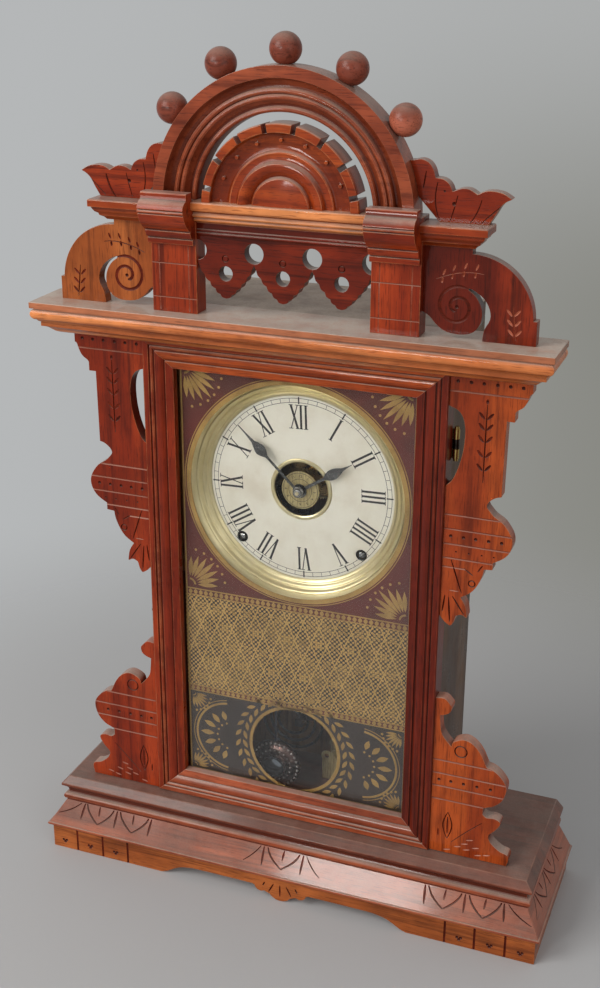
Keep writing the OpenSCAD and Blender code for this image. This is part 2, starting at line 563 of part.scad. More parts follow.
module hour_hand() color("#1d1a1a") {
    k = hour_len / 44;
    hand(77.8, 0.7, hour_at, 5, 2.6, concat([[1.2, 0], [0.9, 19 * k]], curve([[1.1, 21.5 * k], [3, 24.6 * k],
        [3.7, 28.5 * k], [2.8, 32.6 * k], [1.2, 36 * k]]), [[0.5, 40 * k], [0.15, 44 * k]]));
}
module hour_wheel() color("#b8974e") difference() {
    union() {
        plate(58, 59.5) translate([0, dial_z]) gear(40, 0.48, 49.5);
        peg(0, dial_z, 58, 78.6, 2.6);
    }
    peg(0, dial_z, 57, 80, 1.25);
}
module minute_wheel() color("#b8974e") difference() {
    union() {
        plate(55.3, 56.9) translate([8.485, dial_z + 8.485]) gear(36, 0.5, 230);
        plate(56.8, 60) translate([8.485, dial_z + 8.485]) gear(10, 0.48, 225);
    }
    peg(8.485, dial_z + 8.485, 54, 62, 1.05);
}
module alarm_disc() color("#b8974e") difference() {
    union() {
        peg(0, dial_z, 76, 76.7, 13.5);
        peg(0, dial_z, 76.6, 77.5, 4.4);
    }
    peg(0, dial_z, 75, 79, 2.65);
}
function coil(r0, r1, n, t) = let (k = n * 20, f = function (i, w) let (r = r0 + (r1 - r0) * i / k + w,
    a = 18 * i)
    [r * cos(a), r * sin(a)]) concat([for (i = [0:k]) f(i, 0)], [for (i = [k:-1:0]) f(i, t)]);
module great_wheel(s) {
    peg(s * wind_x, wind_z, 12.5, 66, 2.2);
    block(s * wind_x - 1.5, s * wind_x + 1.5, 65.9, 74.2, wind_z - 1.5, wind_z + 1.5);
    plate(29, 31) translate([s * wind_x, wind_z]) gear(84, 0.62, 0);
    peg(s * wind_x, wind_z, 26, 34, 5);
    plate(31, 32.6) translate([s * wind_x, wind_z]) gear(24, 0.8, 0);
    plate(35, 49) translate([s * wind_x, wind_z]) polygon(coil(2, 22, 7, 0.7));
}
module time_great_wheel() color("#b8974e") great_wheel(1);
module strike_great_wheel() color("#b8974e") great_wheel(-1);
module pendulum_rod() color("#9a9a96") {
    difference() {
        peg(pend_x, piv_z, 63.7, 66.3, 2.6);
        peg(pend_x, piv_z, 63, 67, 1.05);
    }
    translate([pend_x, back_y - d_rod, bob_z - 8]) cylinder(h = pend_len + 6.2, r = 1);
}
module pendulum_bob() color("#b8974e") {
    k = bob_r / 19.5;
    difference() {
        turned(pend_x, bob_z, [for (p = [[0, -4], [16, -3.6], [18.6, -2.6], [19.5, -1], [19.5, 0.6], [18.9,
            1.8],
            [17.6, 2], [16.6, 1.2], [15.4, 1.4], [13.5, 2.4], [10.6, 2.9], [9.4, 2.6], [8.8, 3.4], [8, 4],
            [6.8, 4.9],
            [4, 5.6], [0, 5.9]]) [p[0] * k, d_rod + p[1]]]);
        translate([pend_x, back_y - d_rod, bob_z - 8]) cylinder(h = 40, r = 1.2);
    }
}
module crutch() color("#9a9a96") difference() {
    union() {
        peg(pend_x, piv_z, 56, 58.5, 3);
        plate(56, 57.2) polygon(shift([[-12, -7], [-10, 2], [0, 4.5], [10, 2], [12, -7], [9.5, -6], [8, -1],
            [-8, -1],
            [-9.5, -6]], pend_x, piv_z));
        block(pend_x - 1, pend_x + 1, 56.2, 57.4, piv_z - 27, piv_z - 1.5);
        difference() {
            block(pend_x - 2.8, pend_x + 2.8, 56.2, 68, piv_z - 28, piv_z - 25);
            block(pend_x - 1.15, pend_x + 1.15, 62, 69, piv_z - 29, piv_z - 24);
        }
    }
    peg(pend_x, piv_z, 55, 60, 1.05);
}
module strike_hammer() color("#8a8a86") {
    hx = gong_x - gong_r - 8.1;
    peg(0, ham_z, 12.5, 54.5, 1.2);
    peg(0, ham_z, 28, 32, 3);
    wire(0, ham_z, hx, gong_z, d_gong, 0.9);
    side_peg(hx - 6, hx + 6, d_gong, gong_z, 5);
}
module gong() color("#55585c") {
    for (i = [0:6]) translate([gong_x + (i % 2) * 3, back_y - d_gong, gong_z]) rotate([90, 0, 0])
        rotate([0, 0, (i % 2) * 180]) rotate_extrude(angle = 180, $fn = 64)
            translate([gong_r - 18 + 3 * i, 0]) circle(1.1, $fn = 16);
    block(gong_x + gong_r - 21, gong_x + gong_r - 15, d_gong - 4, d_gong + 4, gong_z - 3, gong_z + 3);
    peg(gong_x + gong_r - 18, gong_z, d_back1, d_gong - 3, 3);
    peg(gong_x + gong_r - 18, gong_z, d_back1, d_back1 + 3, 10);
}
module alarm_frame() color("#b08d4a") {
    z = base_h + 2;
    for (d = [20, 39]) difference() {
        plate(d, d + 1.2) union() {
            polygon([[5, z], [48, z], [48, z + 26], [17, z + 26], [5, z + 17]]);
            translate([8.3, z + 20]) circle(4.2);
            translate([16, z + 22]) circle(4.2);
        }
        plate(d - 1, d + 3) union() {
            translate([8.3, z + 20]) circle(2.1);
            translate([16, z + 22]) circle(2.1);
        }
    }
    for (p = [[9, 4], [44, 4], [44, 22], [22, 22]]) peg(p[0], z + p[1], d_back1, 39, 1.8);
    plate(26, 27.5) translate([30, z + 13]) gear(36, 0.6, 0);
    peg(30, z + 13, 21, 39.5, 1);
    peg(30, z + 13, 28, 36, 9);
}

apron_front();
apron_left();
apron_right();
base_moulding_front();
base_moulding_left();
base_moulding_right();
base_top();
case_side_left();
case_side_right();
case_back();
case_top();
cornice_rail();
cornice_moulding();
cornice_board();
column_left();
column_right();
column_cap_left();
column_cap_right();
centre_rail();
frieze();
scroll_wing_left();
scroll_wing_right();
end_shelf_left();
end_shelf_right();
leaf_crest_left();
leaf_crest_right();
arch();
rosette();
arch_balls();
door_stile_left();
door_stile_right();
door_rail_top();
door_rail_bottom();
door_glass();
upper_bracket_left();
upper_bracket_right();
lower_bracket_left();
lower_bracket_right();
door_hardware();
case_hardware();
latch_hook();
dial_blocks();
dial_pan();
dial_paper();
bezel();
movement_frame();
centre_arbor();
minute_hand();
hour_wheel();
hour_hand();
minute_wheel();
alarm_disc();
time_great_wheel();
strike_great_wheel();
pendulum_rod();
pendulum_bob();
crutch();
strike_hammer();
gong();
alarm_frame();
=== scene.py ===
# Walnut shelf clock: camera, light, finishes, carving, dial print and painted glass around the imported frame.
import json
import math
from functools import cache, partial

import bmesh
import bpy
from mathutils import Matrix, Vector


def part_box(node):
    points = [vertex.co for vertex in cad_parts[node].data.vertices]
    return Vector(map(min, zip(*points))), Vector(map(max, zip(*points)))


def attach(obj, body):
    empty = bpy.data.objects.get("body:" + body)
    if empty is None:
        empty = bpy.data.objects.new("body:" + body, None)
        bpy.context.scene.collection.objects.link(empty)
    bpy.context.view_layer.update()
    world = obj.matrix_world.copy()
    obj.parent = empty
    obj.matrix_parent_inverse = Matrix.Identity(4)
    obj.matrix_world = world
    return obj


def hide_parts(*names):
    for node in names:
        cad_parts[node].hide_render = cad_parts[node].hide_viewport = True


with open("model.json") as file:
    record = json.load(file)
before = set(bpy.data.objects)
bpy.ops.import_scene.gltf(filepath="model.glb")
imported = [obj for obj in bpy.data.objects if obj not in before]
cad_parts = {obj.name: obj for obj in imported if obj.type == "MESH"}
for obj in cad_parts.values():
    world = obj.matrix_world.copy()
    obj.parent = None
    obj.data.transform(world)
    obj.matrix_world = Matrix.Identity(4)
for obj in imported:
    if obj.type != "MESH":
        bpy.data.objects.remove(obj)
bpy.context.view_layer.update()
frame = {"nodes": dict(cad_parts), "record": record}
nodes = frame["nodes"]
record = frame["record"]
body_of = {name: body for body, names in record["behaviour"]["bodies"].items() for name in names}

MM = 0.001
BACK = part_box("base_top")[1].y
scene = bpy.context.scene

# Centres of the dial, the round window and the bob, sideways and up, in millimetres.
DIAL = (0, 313)
WINDOW = (0, 113)
BOB = (-23, 84)

# Faces that are carved, as depths in front of the back plane.
BRACKET_FACE = 95.2
WING_FACE = 105
FRIEZE_FACE = 109
COLUMN_FACE = 110.8
APRON_FACE = 115.6

# Layers behind the pane, back and front: the ground colours, and the gilding that is nearer to the glass.
GROUND = (86.2, 86.4)
GILDING = (86.42, 86.58)

# The net of gilt lozenges in the middle of the tablet: its centre line and the size of a lozenge.
NET_Z = 188
NET_ACROSS = 12
NET_UP = 28.8


def at(x, depth, z):
    """A point given in millimetres: sideways, depth in front of the back plane, height."""
    return Vector((x * MM, BACK - depth * MM, z * MM))


# Camera, floor and light.

def build_camera():
    data = bpy.data.cameras.new("camera")
    camera = bpy.data.objects.new("camera", data)
    scene.collection.objects.link(camera)
    camera.location = at(315.9, 904.7, 668.7)
    camera.rotation_euler = (math.radians(67.98), math.radians(-0.229), math.radians(20.99))
    data.sensor_width = 36
    data.lens = 51.15
    data.clip_start = 0.05
    scene.camera = camera


def plain_node(tree, kind, **values):
    node = tree.nodes.new(kind)
    for key, value in values.items():
        setattr(node, key, value)
    return node


def feed(tree, node, **values):
    """Sets or links the sockets of a node; an underscore stands for a space in their names."""
    for name, value in values.items():
        socket = node.inputs[name.replace("_", " ")]
        if isinstance(value, (int, float, tuple)):
            socket.default_value = value
        else:
            tree.links.new(value, socket)


def ramp(tree, value, low, high, to_low=0.0, to_high=1.0):
    node = plain_node(tree, "ShaderNodeMapRange", interpolation_type="SMOOTHSTEP")
    feed(tree, node, Value=value, From_Min=low, From_Max=high, To_Min=to_low, To_Max=to_high)
    return node.outputs[0]


def math_node(tree, operation, first, second=None, clamp=False):
    node = plain_node(tree, "ShaderNodeMath", operation=operation, use_clamp=clamp)
    for socket, value in zip(node.inputs, (first, second)):
        if isinstance(value, (int, float)):
            socket.default_value = value
        elif value is not None:
            tree.links.new(value, socket)
    return node.outputs[0]


def mix_colour(tree, factor, first, second):
    node = plain_node(tree, "ShaderNodeMix", data_type="RGBA")
    for name, value in (("Factor", factor), ("A", first), ("B", second)):
        socket = next(s for s in node.inputs if s.name == name and s.enabled)
        if isinstance(value, (int, float, tuple)):
            socket.default_value = value
        else:
            tree.links.new(value, socket)
    return next(s for s in node.outputs if s.enabled)
def axes(tree, vector):
    """The X, Y and Z of a vector."""
    node = plain_node(tree, "ShaderNodeSeparateXYZ")
    tree.links.new(vector, node.inputs[0])
    return node.outputs
def srgb(r, g, b):
    def linear(v):
        v /= 255
        return v / 12.92 if v <= 0.04045 else ((v + 0.055) / 1.055) ** 2.4
    return (linear(r), linear(g), linear(b), 1)


RIGHTWARD = (0.934, 0.358, 0)


def build_world():
    """Even light from all round; straight views of it see a plain backdrop with painted shade to the right,
    deepest low down.
    """
    world = bpy.data.worlds.new("studio")
    scene.world = world
    world.use_nodes = True
    tree = world.node_tree
    tree.nodes.clear()
    lit = plain_node(tree, "ShaderNodeBackground")
    feed(tree, lit, Color=(1, 0.99, 0.97, 1), Strength=0.42)
    shown = plain_node(tree, "ShaderNodeBackground")
    place = plain_node(tree, "ShaderNodeTexCoord").outputs["Generated"]
    across = plain_node(tree, "ShaderNodeVectorMath", operation="DOT_PRODUCT")
    across.inputs[1].default_value = RIGHTWARD
    tree.links.new(place, across.inputs[0])
    # The backdrop is painted darker to the right, most of all below the horizon: painted shade.
    below = math_node(tree, "MULTIPLY", axes(tree, place)["Z"], -1.0)
    low = ramp(tree, below, 0.02, 0.26, 0.25, 1.0)
    side = math_node(tree, "MULTIPLY", ramp(tree, across.outputs["Value"], -0.22, 0.26), low)
    feed(tree, shown, Color=mix_colour(tree, side, srgb(181, 183, 184), srgb(136, 136, 130)))
    path = plain_node(tree, "ShaderNodeLightPath")
    seen = math_node(tree, "MAXIMUM", path.outputs["Is Camera Ray"], path.outputs["Is Glossy Ray"])
    seen = math_node(tree, "MAXIMUM", seen, path.outputs["Is Transmission Ray"])
    mix = plain_node(tree, "ShaderNodeMixShader")
    out = plain_node(tree, "ShaderNodeOutputWorld")
    tree.links.new(seen, mix.inputs[0])
    tree.links.new(lit.outputs[0], mix.inputs[1])
    tree.links.new(shown.outputs[0], mix.inputs[2])
    tree.links.new(mix.outputs[0], out.inputs[0])


def build_light(name, place, target, size, power, colour):
    data = bpy.data.lights.new(name, "AREA")
    data.shape = "RECTANGLE"
    data.size, data.size_y = size
    data.energy = power
    data.color = colour
    lamp = bpy.data.objects.new(name, data)
    scene.collection.objects.link(lamp)
    lamp.location = place
    lamp.rotation_euler = (Vector(target) - Vector(place)).to_track_quat("-Z", "Y").to_euler()


def build_stage():
    """A pale floor that thins out into the backdrop with distance from the clock."""
    bm = bmesh.new()
    bmesh.ops.create_grid(bm, x_segments=2, y_segments=2, size=3)
    mesh = bpy.data.meshes.new("floor")
    bm.to_mesh(mesh)
    bm.free()
    floor = bpy.data.objects.new("floor", mesh)
    scene.collection.objects.link(floor)
    material = bpy.data.materials.new("pale_floor")
    material.use_nodes = True
    tree = material.node_tree
    shader = tree.nodes["Principled BSDF"]
    feed(tree, shader, Base_Color=(0.475, 0.48, 0.49, 1), Roughness=0.9)
    away = plain_node(tree, "ShaderNodeVectorMath", operation="LENGTH")
    tree.links.new(plain_node(tree, "ShaderNodeTexCoord").outputs["Object"], away.inputs[0])
    clear = plain_node(tree, "ShaderNodeBsdfTransparent")
    mix = plain_node(tree, "ShaderNodeMixShader")
    tree.links.new(ramp(tree, away.outputs["Value"], 0.3, 0.75), mix.inputs[0])
    tree.links.new(shader.outputs[0], mix.inputs[1])
    tree.links.new(clear.outputs[0], mix.inputs[2])
    tree.links.new(mix.outputs[0], tree.nodes["Material Output"].inputs[0])
    mesh.materials.append(material)


build_camera()
build_world()
build_light("window", (-1.3, -1.5, 1.5), (0, 0, 0.3), (1.2, 1.2), 29, (1, 0.98, 0.95))
build_light("front", (-0.42, -1.75, 0.8), (0, 0, 0.25), (0.3, 0.3), 6.5, (1, 0.98, 0.95))
build_light("fill", (1.6, -1.6, 1.1), (0, 0, 0.3), (1.6, 1.6), 7, (1, 0.97, 0.93))
build_stage()
scene.view_settings.view_transform = "Standard"


# Shared effects.

def new_group(name, inputs, outputs):
    """A node group, with the sockets that bring its inputs and the node that takes its results."""
    group = bpy.data.node_groups.new(name, "ShaderNodeTree")
    for label, kind, value in inputs:
        socket = group.interface.new_socket(label, in_out="INPUT", socket_type=kind)
        socket.default_value = value
    for label, kind in outputs:
        group.interface.new_socket(label, in_out="OUTPUT", socket_type=kind)
    given = plain_node(group, "NodeGroupInput").outputs
    return group, given, plain_node(group, "NodeGroupOutput")


def noise(tree, vector, scale, detail=3.0, rough=0.5, distortion=0.0):
    node = plain_node(tree, "ShaderNodeTexNoise")
    feed(tree, node, Vector=vector, Scale=scale, Detail=detail, Roughness=rough, Distortion=distortion)
    return node.outputs["Fac"]


def stretched(tree, vector, scale):
    node = plain_node(tree, "ShaderNodeMapping", vector_type="POINT")
    feed(tree, node, Vector=vector, Scale=scale)
    return node.outputs[0]


def face_mark(tree, name):
    """A value that the meshes carry on each face."""
    node = plain_node(tree, "ShaderNodeAttribute", attribute_type="GEOMETRY", attribute_name=name)
    return node.outputs["Fac"]


def grain_group():
    """Walnut figure along the local Z axis: broad streaks, fine pores and a little mottling."""
    group, given, result = new_group("walnut_figure",
        [("Vector", "NodeSocketVector", (0, 0, 0)), ("Light", "NodeSocketColor", (1, 1, 1, 1)),
         ("Middle", "NodeSocketColor", (0.5, 0.5, 0.5, 1)), ("Dark", "NodeSocketColor", (0, 0, 0, 1))],
        [("Colour", "NodeSocketColor"), ("Roughness", "NodeSocketFloat"), ("Height", "NodeSocketFloat")])
    place = given["Vector"]
    streak = noise(group, stretched(group, place, (190, 190, 7)), 1.0, 4.0, 0.6, 0.7)
    broad = noise(group, stretched(group, place, (26, 26, 3.2)), 1.0, 3.0, 0.5, 1.2)
    pore = noise(group, stretched(group, place, (1500, 1500, 80)), 1.0, 2.0, 0.6)
    mottle = noise(group, place, 40.0, 3.0, 0.6)
    colour = mix_colour(group, ramp(group, broad, 0.42, 0.64), given["Middle"], given["Light"])
    colour = mix_colour(group, ramp(group, streak, 0.48, 0.72, 0.0, 0.7), colour, given["Dark"])
    flecks = ramp(group, pore, 0.54, 0.68, 0.0, 0.6)
    colour = mix_colour(group, flecks, colour, given["Dark"])
    bright = plain_node(group, "ShaderNodeHueSaturation")
    feed(group, bright, Color=colour, Value=ramp(group, mottle, 0.3, 0.7, 0.88, 1.2))
    feed(group, result, Colour=bright.outputs[0], Roughness=ramp(group, mottle, 0.3, 0.75, 0.27, 0.4),
        Height=math_node(group, "SUBTRACT", 1.0, flecks))
    return group


def dust_group():
    """Mask of the dust that lies on faces turned up; on sloping faces its pale colour is also a painted sheen.
    """
    group, given, result = new_group("dust_and_painted_sheen",
        [("Vector", "NodeSocketVector", (0, 0, 0)), ("Amount", "NodeSocketFloat", 1.0)],
        [("Mask", "NodeSocketFloat")])
    normal = plain_node(group, "ShaderNodeNewGeometry").outputs["Normal"]
    # Starting at a normal of 0.2 lets the pale colour reach sloping faces, where it is painted sheen as well
    # as dust.
    up = ramp(group, axes(group, normal)["Z"], 0.2, 0.95)
    patch = ramp(group, noise(group, given["Vector"], 55.0, 4.0, 0.65), 0.25, 0.65, 0.6, 1.0)
    fine = ramp(group, noise(group, given["Vector"], 900.0, 2.0, 0.6), 0.3, 0.7, 0.82, 1.0)
    mask = math_node(group, "MULTIPLY", math_node(group, "MULTIPLY", up, patch), fine)
    feed(group, result, Mask=math_node(group, "MULTIPLY", mask, given["Amount"], True))
    return group


def wear_group():
    """Mask of rubbed edges: the faces marked as worn, broken up by patches."""
    group, given, result = new_group("rubbed_edges", [("Vector", "NodeSocketVector", (0, 0, 0))],
        [("Mask", "NodeSocketFloat")])
    patch = ramp(group, noise(group, given["Vector"], 70.0, 4.0, 0.7), 0.35, 0.65, 0.15, 1.0)
    feed(group, result, Mask=math_node(group, "MULTIPLY", face_mark(group, "worn"), patch, True))
    return group


def tarnish_group():
    """Two colours and two roughnesses of old metal, with soft clouds and fine scratches."""
    group, given, result = new_group("tarnish",
        [("Vector", "NodeSocketVector", (0, 0, 0)), ("Clean", "NodeSocketColor", (1, 1, 1, 1)),
         ("Dull", "NodeSocketColor", (0, 0, 0, 1)), ("Scale", "NodeSocketFloat", 120.0)],
        [("Colour", "NodeSocketColor"), ("Roughness", "NodeSocketFloat"), ("Height", "NodeSocketFloat")])
    cloud = noise(group, given["Vector"], given["Scale"], 4.0, 0.6)
    colour = mix_colour(group, ramp(group, cloud, 0.35, 0.75), given["Clean"], given["Dull"])
    feed(group, result, Colour=colour, Roughness=ramp(group, cloud, 0.3, 0.75, 0.2, 0.38),
        Height=noise(group, given["Vector"], 2200.0, 2.0, 0.6))
    return group


GRAIN = grain_group()
DUST_AND_SHEEN = dust_group()
WEAR = wear_group()
TARNISH = tarnish_group()


# Finishes.

def new_material(name):
    """A material, its node tree, its shader, and the socket of the object's own coordinates."""
    material = bpy.data.materials.new(name)
    material.use_nodes = True
    tree = material.node_tree
    place = plain_node(tree, "ShaderNodeTexCoord").outputs["Object"]
    return material, tree, tree.nodes["Principled BSDF"], place


def use_group(tree, group, **values):
    node = plain_node(tree, "ShaderNodeGroup", node_tree=group)
    feed(tree, node, **values)
    return node.outputs


def add_bump(tree, shader, height, distance, strength):
    bump = plain_node(tree, "ShaderNodeBump")
    feed(tree, bump, Height=height, Distance=distance, Strength=strength)
    feed(tree, shader, Normal=bump.outputs[0])


TURN = {"z": (0, 0, 0), "x": (0, math.radians(90), 0), "y": (math.radians(90), 0, 0)}
# Pale colour of the dust, which on sloping faces is also a painted sheen.
DUST_AND_SHEEN_COLOUR = srgb(194, 181, 168)
RUBBED_SHARE = 0.6
# Share of the dark colour painted into hollows as shade.
HOLLOW_SHADE_SHARE = 0.85
DUST_ROUGHNESS = 0.4


def wood(name, along, light, middle, dark, dust_and_sheen, seed, coat=0.4, worn=None, specular=0.06, gloss=0.09):
    """Wood with its grain along an axis, rubbed edges, painted shade in the hollows, and pale dust on faces
    turned up that on sloping faces is also a painted sheen; the seed shifts the figure.
    """
    material, tree, shader, place = new_material(name)
    turn = plain_node(tree, "ShaderNodeMapping", vector_type="POINT")
    feed(tree, turn, Vector=place, Rotation=TURN[along], Location=(seed, seed * 0.7, seed * 1.3))
    grain = use_group(tree, GRAIN, Vector=turn.outputs[0], Light=light, Middle=middle, Dark=dark)
    colour = grain["Colour"]
    if worn:
        rubbed = use_group(tree, WEAR, Vector=place)["Mask"]
        colour = mix_colour(tree, math_node(tree, "MULTIPLY", rubbed, RUBBED_SHARE), colour, worn)
    # Narrow faces in hollows are darkened towards the tone's dark colour: painted shade.
    hollow_shade = math_node(tree, "MULTIPLY", face_mark(tree, "hollow_shade"), HOLLOW_SHADE_SHARE)
    colour = mix_colour(tree, hollow_shade, colour, dark)
    mask = use_group(tree, DUST_AND_SHEEN, Vector=place, Amount=dust_and_sheen)["Mask"]
    dusty = math_node(tree, "MULTIPLY", mask, DUST_ROUGHNESS)
    feed(tree, shader, Base_Color=mix_colour(tree, mask, colour, DUST_AND_SHEEN_COLOUR),
        Roughness=math_node(tree, "ADD", grain["Roughness"], dusty, True), Specular_IOR_Level=specular,
        Coat_Weight=coat, Coat_Roughness=gloss)
    add_bump(tree, shader, grain["Height"], 0.0001, 0.5)
    return material


TONES = {
    "red": dict(light=srgb(152, 54, 20), middle=srgb(120, 36, 12), dark=srgb(66, 16, 6), dust_and_sheen=0.6),
    "dark": dict(light=srgb(126, 40, 16), middle=srgb(94, 25, 9), dark=srgb(48, 12, 4), dust_and_sheen=0.5),
    "orange": dict(light=srgb(168, 74, 28), middle=srgb(136, 50, 18), dark=srgb(82, 26, 8), dust_and_sheen=0.6),
    "amber": dict(light=srgb(172, 95, 46), middle=srgb(142, 71, 30), dark=srgb(86, 38, 14), dust_and_sheen=0.6),
    # The golden tone is walnut lightened to carry a painted sheen as well as its colour.
    "golden_sheen": dict(light=srgb(220, 138, 82), middle=srgb(194, 108, 58), dark=srgb(112, 44, 16), dust_and_sheen=0.6),
    "soft": dict(light=srgb(160, 78, 48), middle=srgb(130, 58, 34), dark=srgb(78, 28, 16), dust_and_sheen=0.5),
    "brown": dict(light=srgb(122, 62, 44), middle=srgb(98, 46, 32), dark=srgb(60, 26, 18), dust_and_sheen=0.26),
    "dusty": dict(light=srgb(178, 108, 74), middle=srgb(152, 92, 64), dark=srgb(108, 64, 46), dust_and_sheen=1.0),
}
WORN = srgb(196, 122, 78)
WORN_BY_TONE = {
    "dark": srgb(140, 62, 38),
    "soft": srgb(166, 98, 68),
    "brown": srgb(140, 84, 62),
    "dusty": srgb(176, 120, 92),
}


@cache
def walnut(tone, axis):
    """The finish of one tone with its grain along an axis; each has its own place in the figure."""
    seed = 0.31 * list(TONES).index(tone) + 0.13 * "zxy".index(axis)
    worn = WORN_BY_TONE.get(tone, WORN)
    return wood("walnut_" + tone + "_" + axis, axis, seed=seed, worn=worn, **TONES[tone])


@cache
def stained(axis):
    """The dull brown of the case, whose grain hardly shows."""
    return wood("stained_" + axis, axis, light=srgb(102, 72, 48), middle=srgb(76, 52, 36),
        dark=srgb(42, 28, 18), dust_and_sheen=0.9, seed=0.9, coat=0.05, worn=srgb(110, 84, 62), specular=0.12)


TURNED = wood("walnut_turned", "x", light=srgb(168, 92, 70), middle=srgb(124, 60, 44), dark=srgb(58, 24, 16),
    dust_and_sheen=0.3, seed=2.1, coat=0.35, worn=srgb(190, 120, 80), gloss=0.28)
POPLAR = wood("bare_poplar", "z", light=srgb(168, 132, 94), middle=srgb(136, 102, 68), dark=srgb(92, 66, 44),
    dust_and_sheen=0.5, seed=1.7, coat=0.0, worn=srgb(168, 138, 104))
GROOVE = wood("cut_walnut", "x", light=srgb(126, 44, 22), middle=srgb(92, 30, 16), dark=srgb(56, 18, 10),
    dust_and_sheen=0.2, seed=1.1, coat=0.0, specular=0.1)
# Pale wood for ruled lines: a painted highlight where the cut edges catch the light.
RULED_HIGHLIGHT = wood("ruled_walnut_highlight", "x", light=srgb(208, 144, 122), middle=srgb(176, 100, 76),
    dark=srgb(118, 50, 32), dust_and_sheen=0.3, seed=1.4, coat=0.0, specular=0.1)


def metal(name, clean, dull, scale=60.0, bump=0.00003, rough=0.0):
    """Old metal, clean and dull in clouds of a scale; rough adds to its roughness."""
    material, tree, shader, place = new_material(name)
    coat = use_group(tree, TARNISH, Vector=place, Clean=clean, Dull=dull, Scale=scale)
    feed(tree, shader, Base_Color=coat["Colour"], Metallic=1.0,
        Roughness=math_node(tree, "ADD", coat["Roughness"], rough))
    if bump:
        add_bump(tree, shader, coat["Height"], bump, 0.4)
    return material


BRASS = metal("old_brass", srgb(206, 178, 112), srgb(160, 130, 76))
POLISHED_BRASS = metal("polished_brass", srgb(228, 216, 174), srgb(210, 196, 148), 25.0, bump=0, rough=0.1)
# Brass of the movement plates, painted dark as shade for the gap behind the dial.
SHADED_PLATE_BRASS = metal("plate_brass_painted_shade", srgb(112, 92, 60), srgb(78, 64, 42))
STEEL = metal("plain_steel", srgb(176, 176, 172), srgb(120, 116, 110))
GONG_STEEL = metal("blued_wire", srgb(96, 98, 108), srgb(52, 54, 62))
IRON = metal("dark_iron", srgb(70, 62, 56), srgb(38, 32, 28), 200.0)
ZINC = metal("dull_zinc", srgb(150, 152, 148), srgb(108, 108, 104))
BLUED = metal("grey_steel", srgb(126, 125, 122), srgb(82, 80, 78), 200.0)
SILVERED = metal("silvered_beads", srgb(214, 208, 204), srgb(150, 140, 138), 300.0)
BOB_METAL = metal("darkened_bob", srgb(128, 104, 96), srgb(74, 58, 56), 160.0)


def paint(names, material):
    for name in names.split():
        piece = nodes[name]
        piece.data.materials.clear()
        piece.data.materials.append(material)


# The movement plates get the darkened brass: painted shade.
paint("movement_frame", SHADED_PLATE_BRASS)
paint("case_hardware latch_hook hour_wheel minute_wheel time_great_wheel strike_great_wheel", BRASS)
paint("bezel centre_arbor", POLISHED_BRASS)
paint("pendulum_bob", BOB_METAL)
paint("door_hardware", IRON)
paint("crutch strike_hammer", STEEL)
paint("pendulum_rod gong", GONG_STEEL)
paint("minute_hand hour_hand", BLUED)
paint("dial_pan", ZINC)


def build_disc():
    """Brushed brass, half metal so that it looks even from any side; on the alarm frame its pale colour is a
    painted highlight.
    """
    material, tree, shader, place = new_material("brushed_disc_and_highlight")
    brushed = noise(tree, stretched(tree, place, (900, 900, 120)), 1.0, 3.0, 0.6)
    colour = mix_colour(tree, ramp(tree, brushed, 0.3, 0.7), srgb(196, 180, 130), srgb(158, 140, 94))
    feed(tree, shader, Base_Color=colour, Roughness=ramp(tree, brushed, 0.3, 0.7, 0.3, 0.45), Metallic=0.45)
    return material


# On the alarm frame, seen through the window, the pale brass is a painted highlight.
paint("alarm_disc alarm_frame", build_disc())


def build_paper():
    material, tree, shader, place = new_material("dial_paper")
    age = noise(tree, place, 38.0, 5.0, 0.6)
    speck = ramp(tree, noise(tree, place, 1400.0, 2.0, 0.5), 0.68, 0.8, 0.0, 0.22)
    colour = mix_colour(tree, ramp(tree, age, 0.35, 0.75), srgb(226, 222, 206), srgb(212, 204, 184))
    feed(tree, shader, Base_Color=mix_colour(tree, speck, colour, srgb(160, 146, 118)), Roughness=0.7)
    add_bump(tree, shader, age, 0.0001, 0.2)
    return material


def build_ink():
    material, tree, shader, place = new_material("printing_ink")
    age = noise(tree, place, 500.0, 3.0, 0.6)
    colour = mix_colour(tree, ramp(tree, age, 0.35, 0.7), srgb(24, 24, 24), srgb(58, 54, 50))
    feed(tree, shader, Base_Color=colour, Roughness=0.6)
    return material


def build_glass():
    """A clear pane whose shine grows towards its lower right corner."""
    material, tree, shader, place = new_material("window_glass")
    smear = ramp(tree, noise(tree, stretched(tree, place, (12, 12, 5)), 1.0, 4.0, 0.6), 0.3, 0.8, 0.005, 0.02)
    split = axes(tree, place)
    lower_right = math_node(tree, "SUBTRACT", math_node(tree, "MULTIPLY", split["X"], 0.6), split["Z"])
    feed(tree, shader, Base_Color=(1, 1, 1, 1), Roughness=smear, Transmission_Weight=1.0, IOR=1.0001,
        Coat_Weight=ramp(tree, lower_right, -0.45, -0.12, 0.05, 0.9), Coat_Roughness=0.05, Coat_IOR=1.55)
    return material


def paint_behind_glass(name, fresh, aged, scale=30.0, rough=0.45):
    """Flat colour laid on the back of the pane, thin and cloudy in places."""
    material, tree, shader, place = new_material(name)
    cloud = noise(tree, place, scale, 5.0, 0.65)
    fine = ramp(tree, noise(tree, place, 1100.0, 2.0, 0.6), 0.35, 0.7, 0.0, 0.4)
    colour = mix_colour(tree, ramp(tree, cloud, 0.35, 0.7), fresh, aged)
    feed(tree, shader, Base_Color=mix_colour(tree, fine, colour, aged),
        Roughness=ramp(tree, cloud, 0.3, 0.7, rough, rough + 0.2))
    return material


GOLD = (srgb(166, 132, 68), srgb(134, 104, 50))


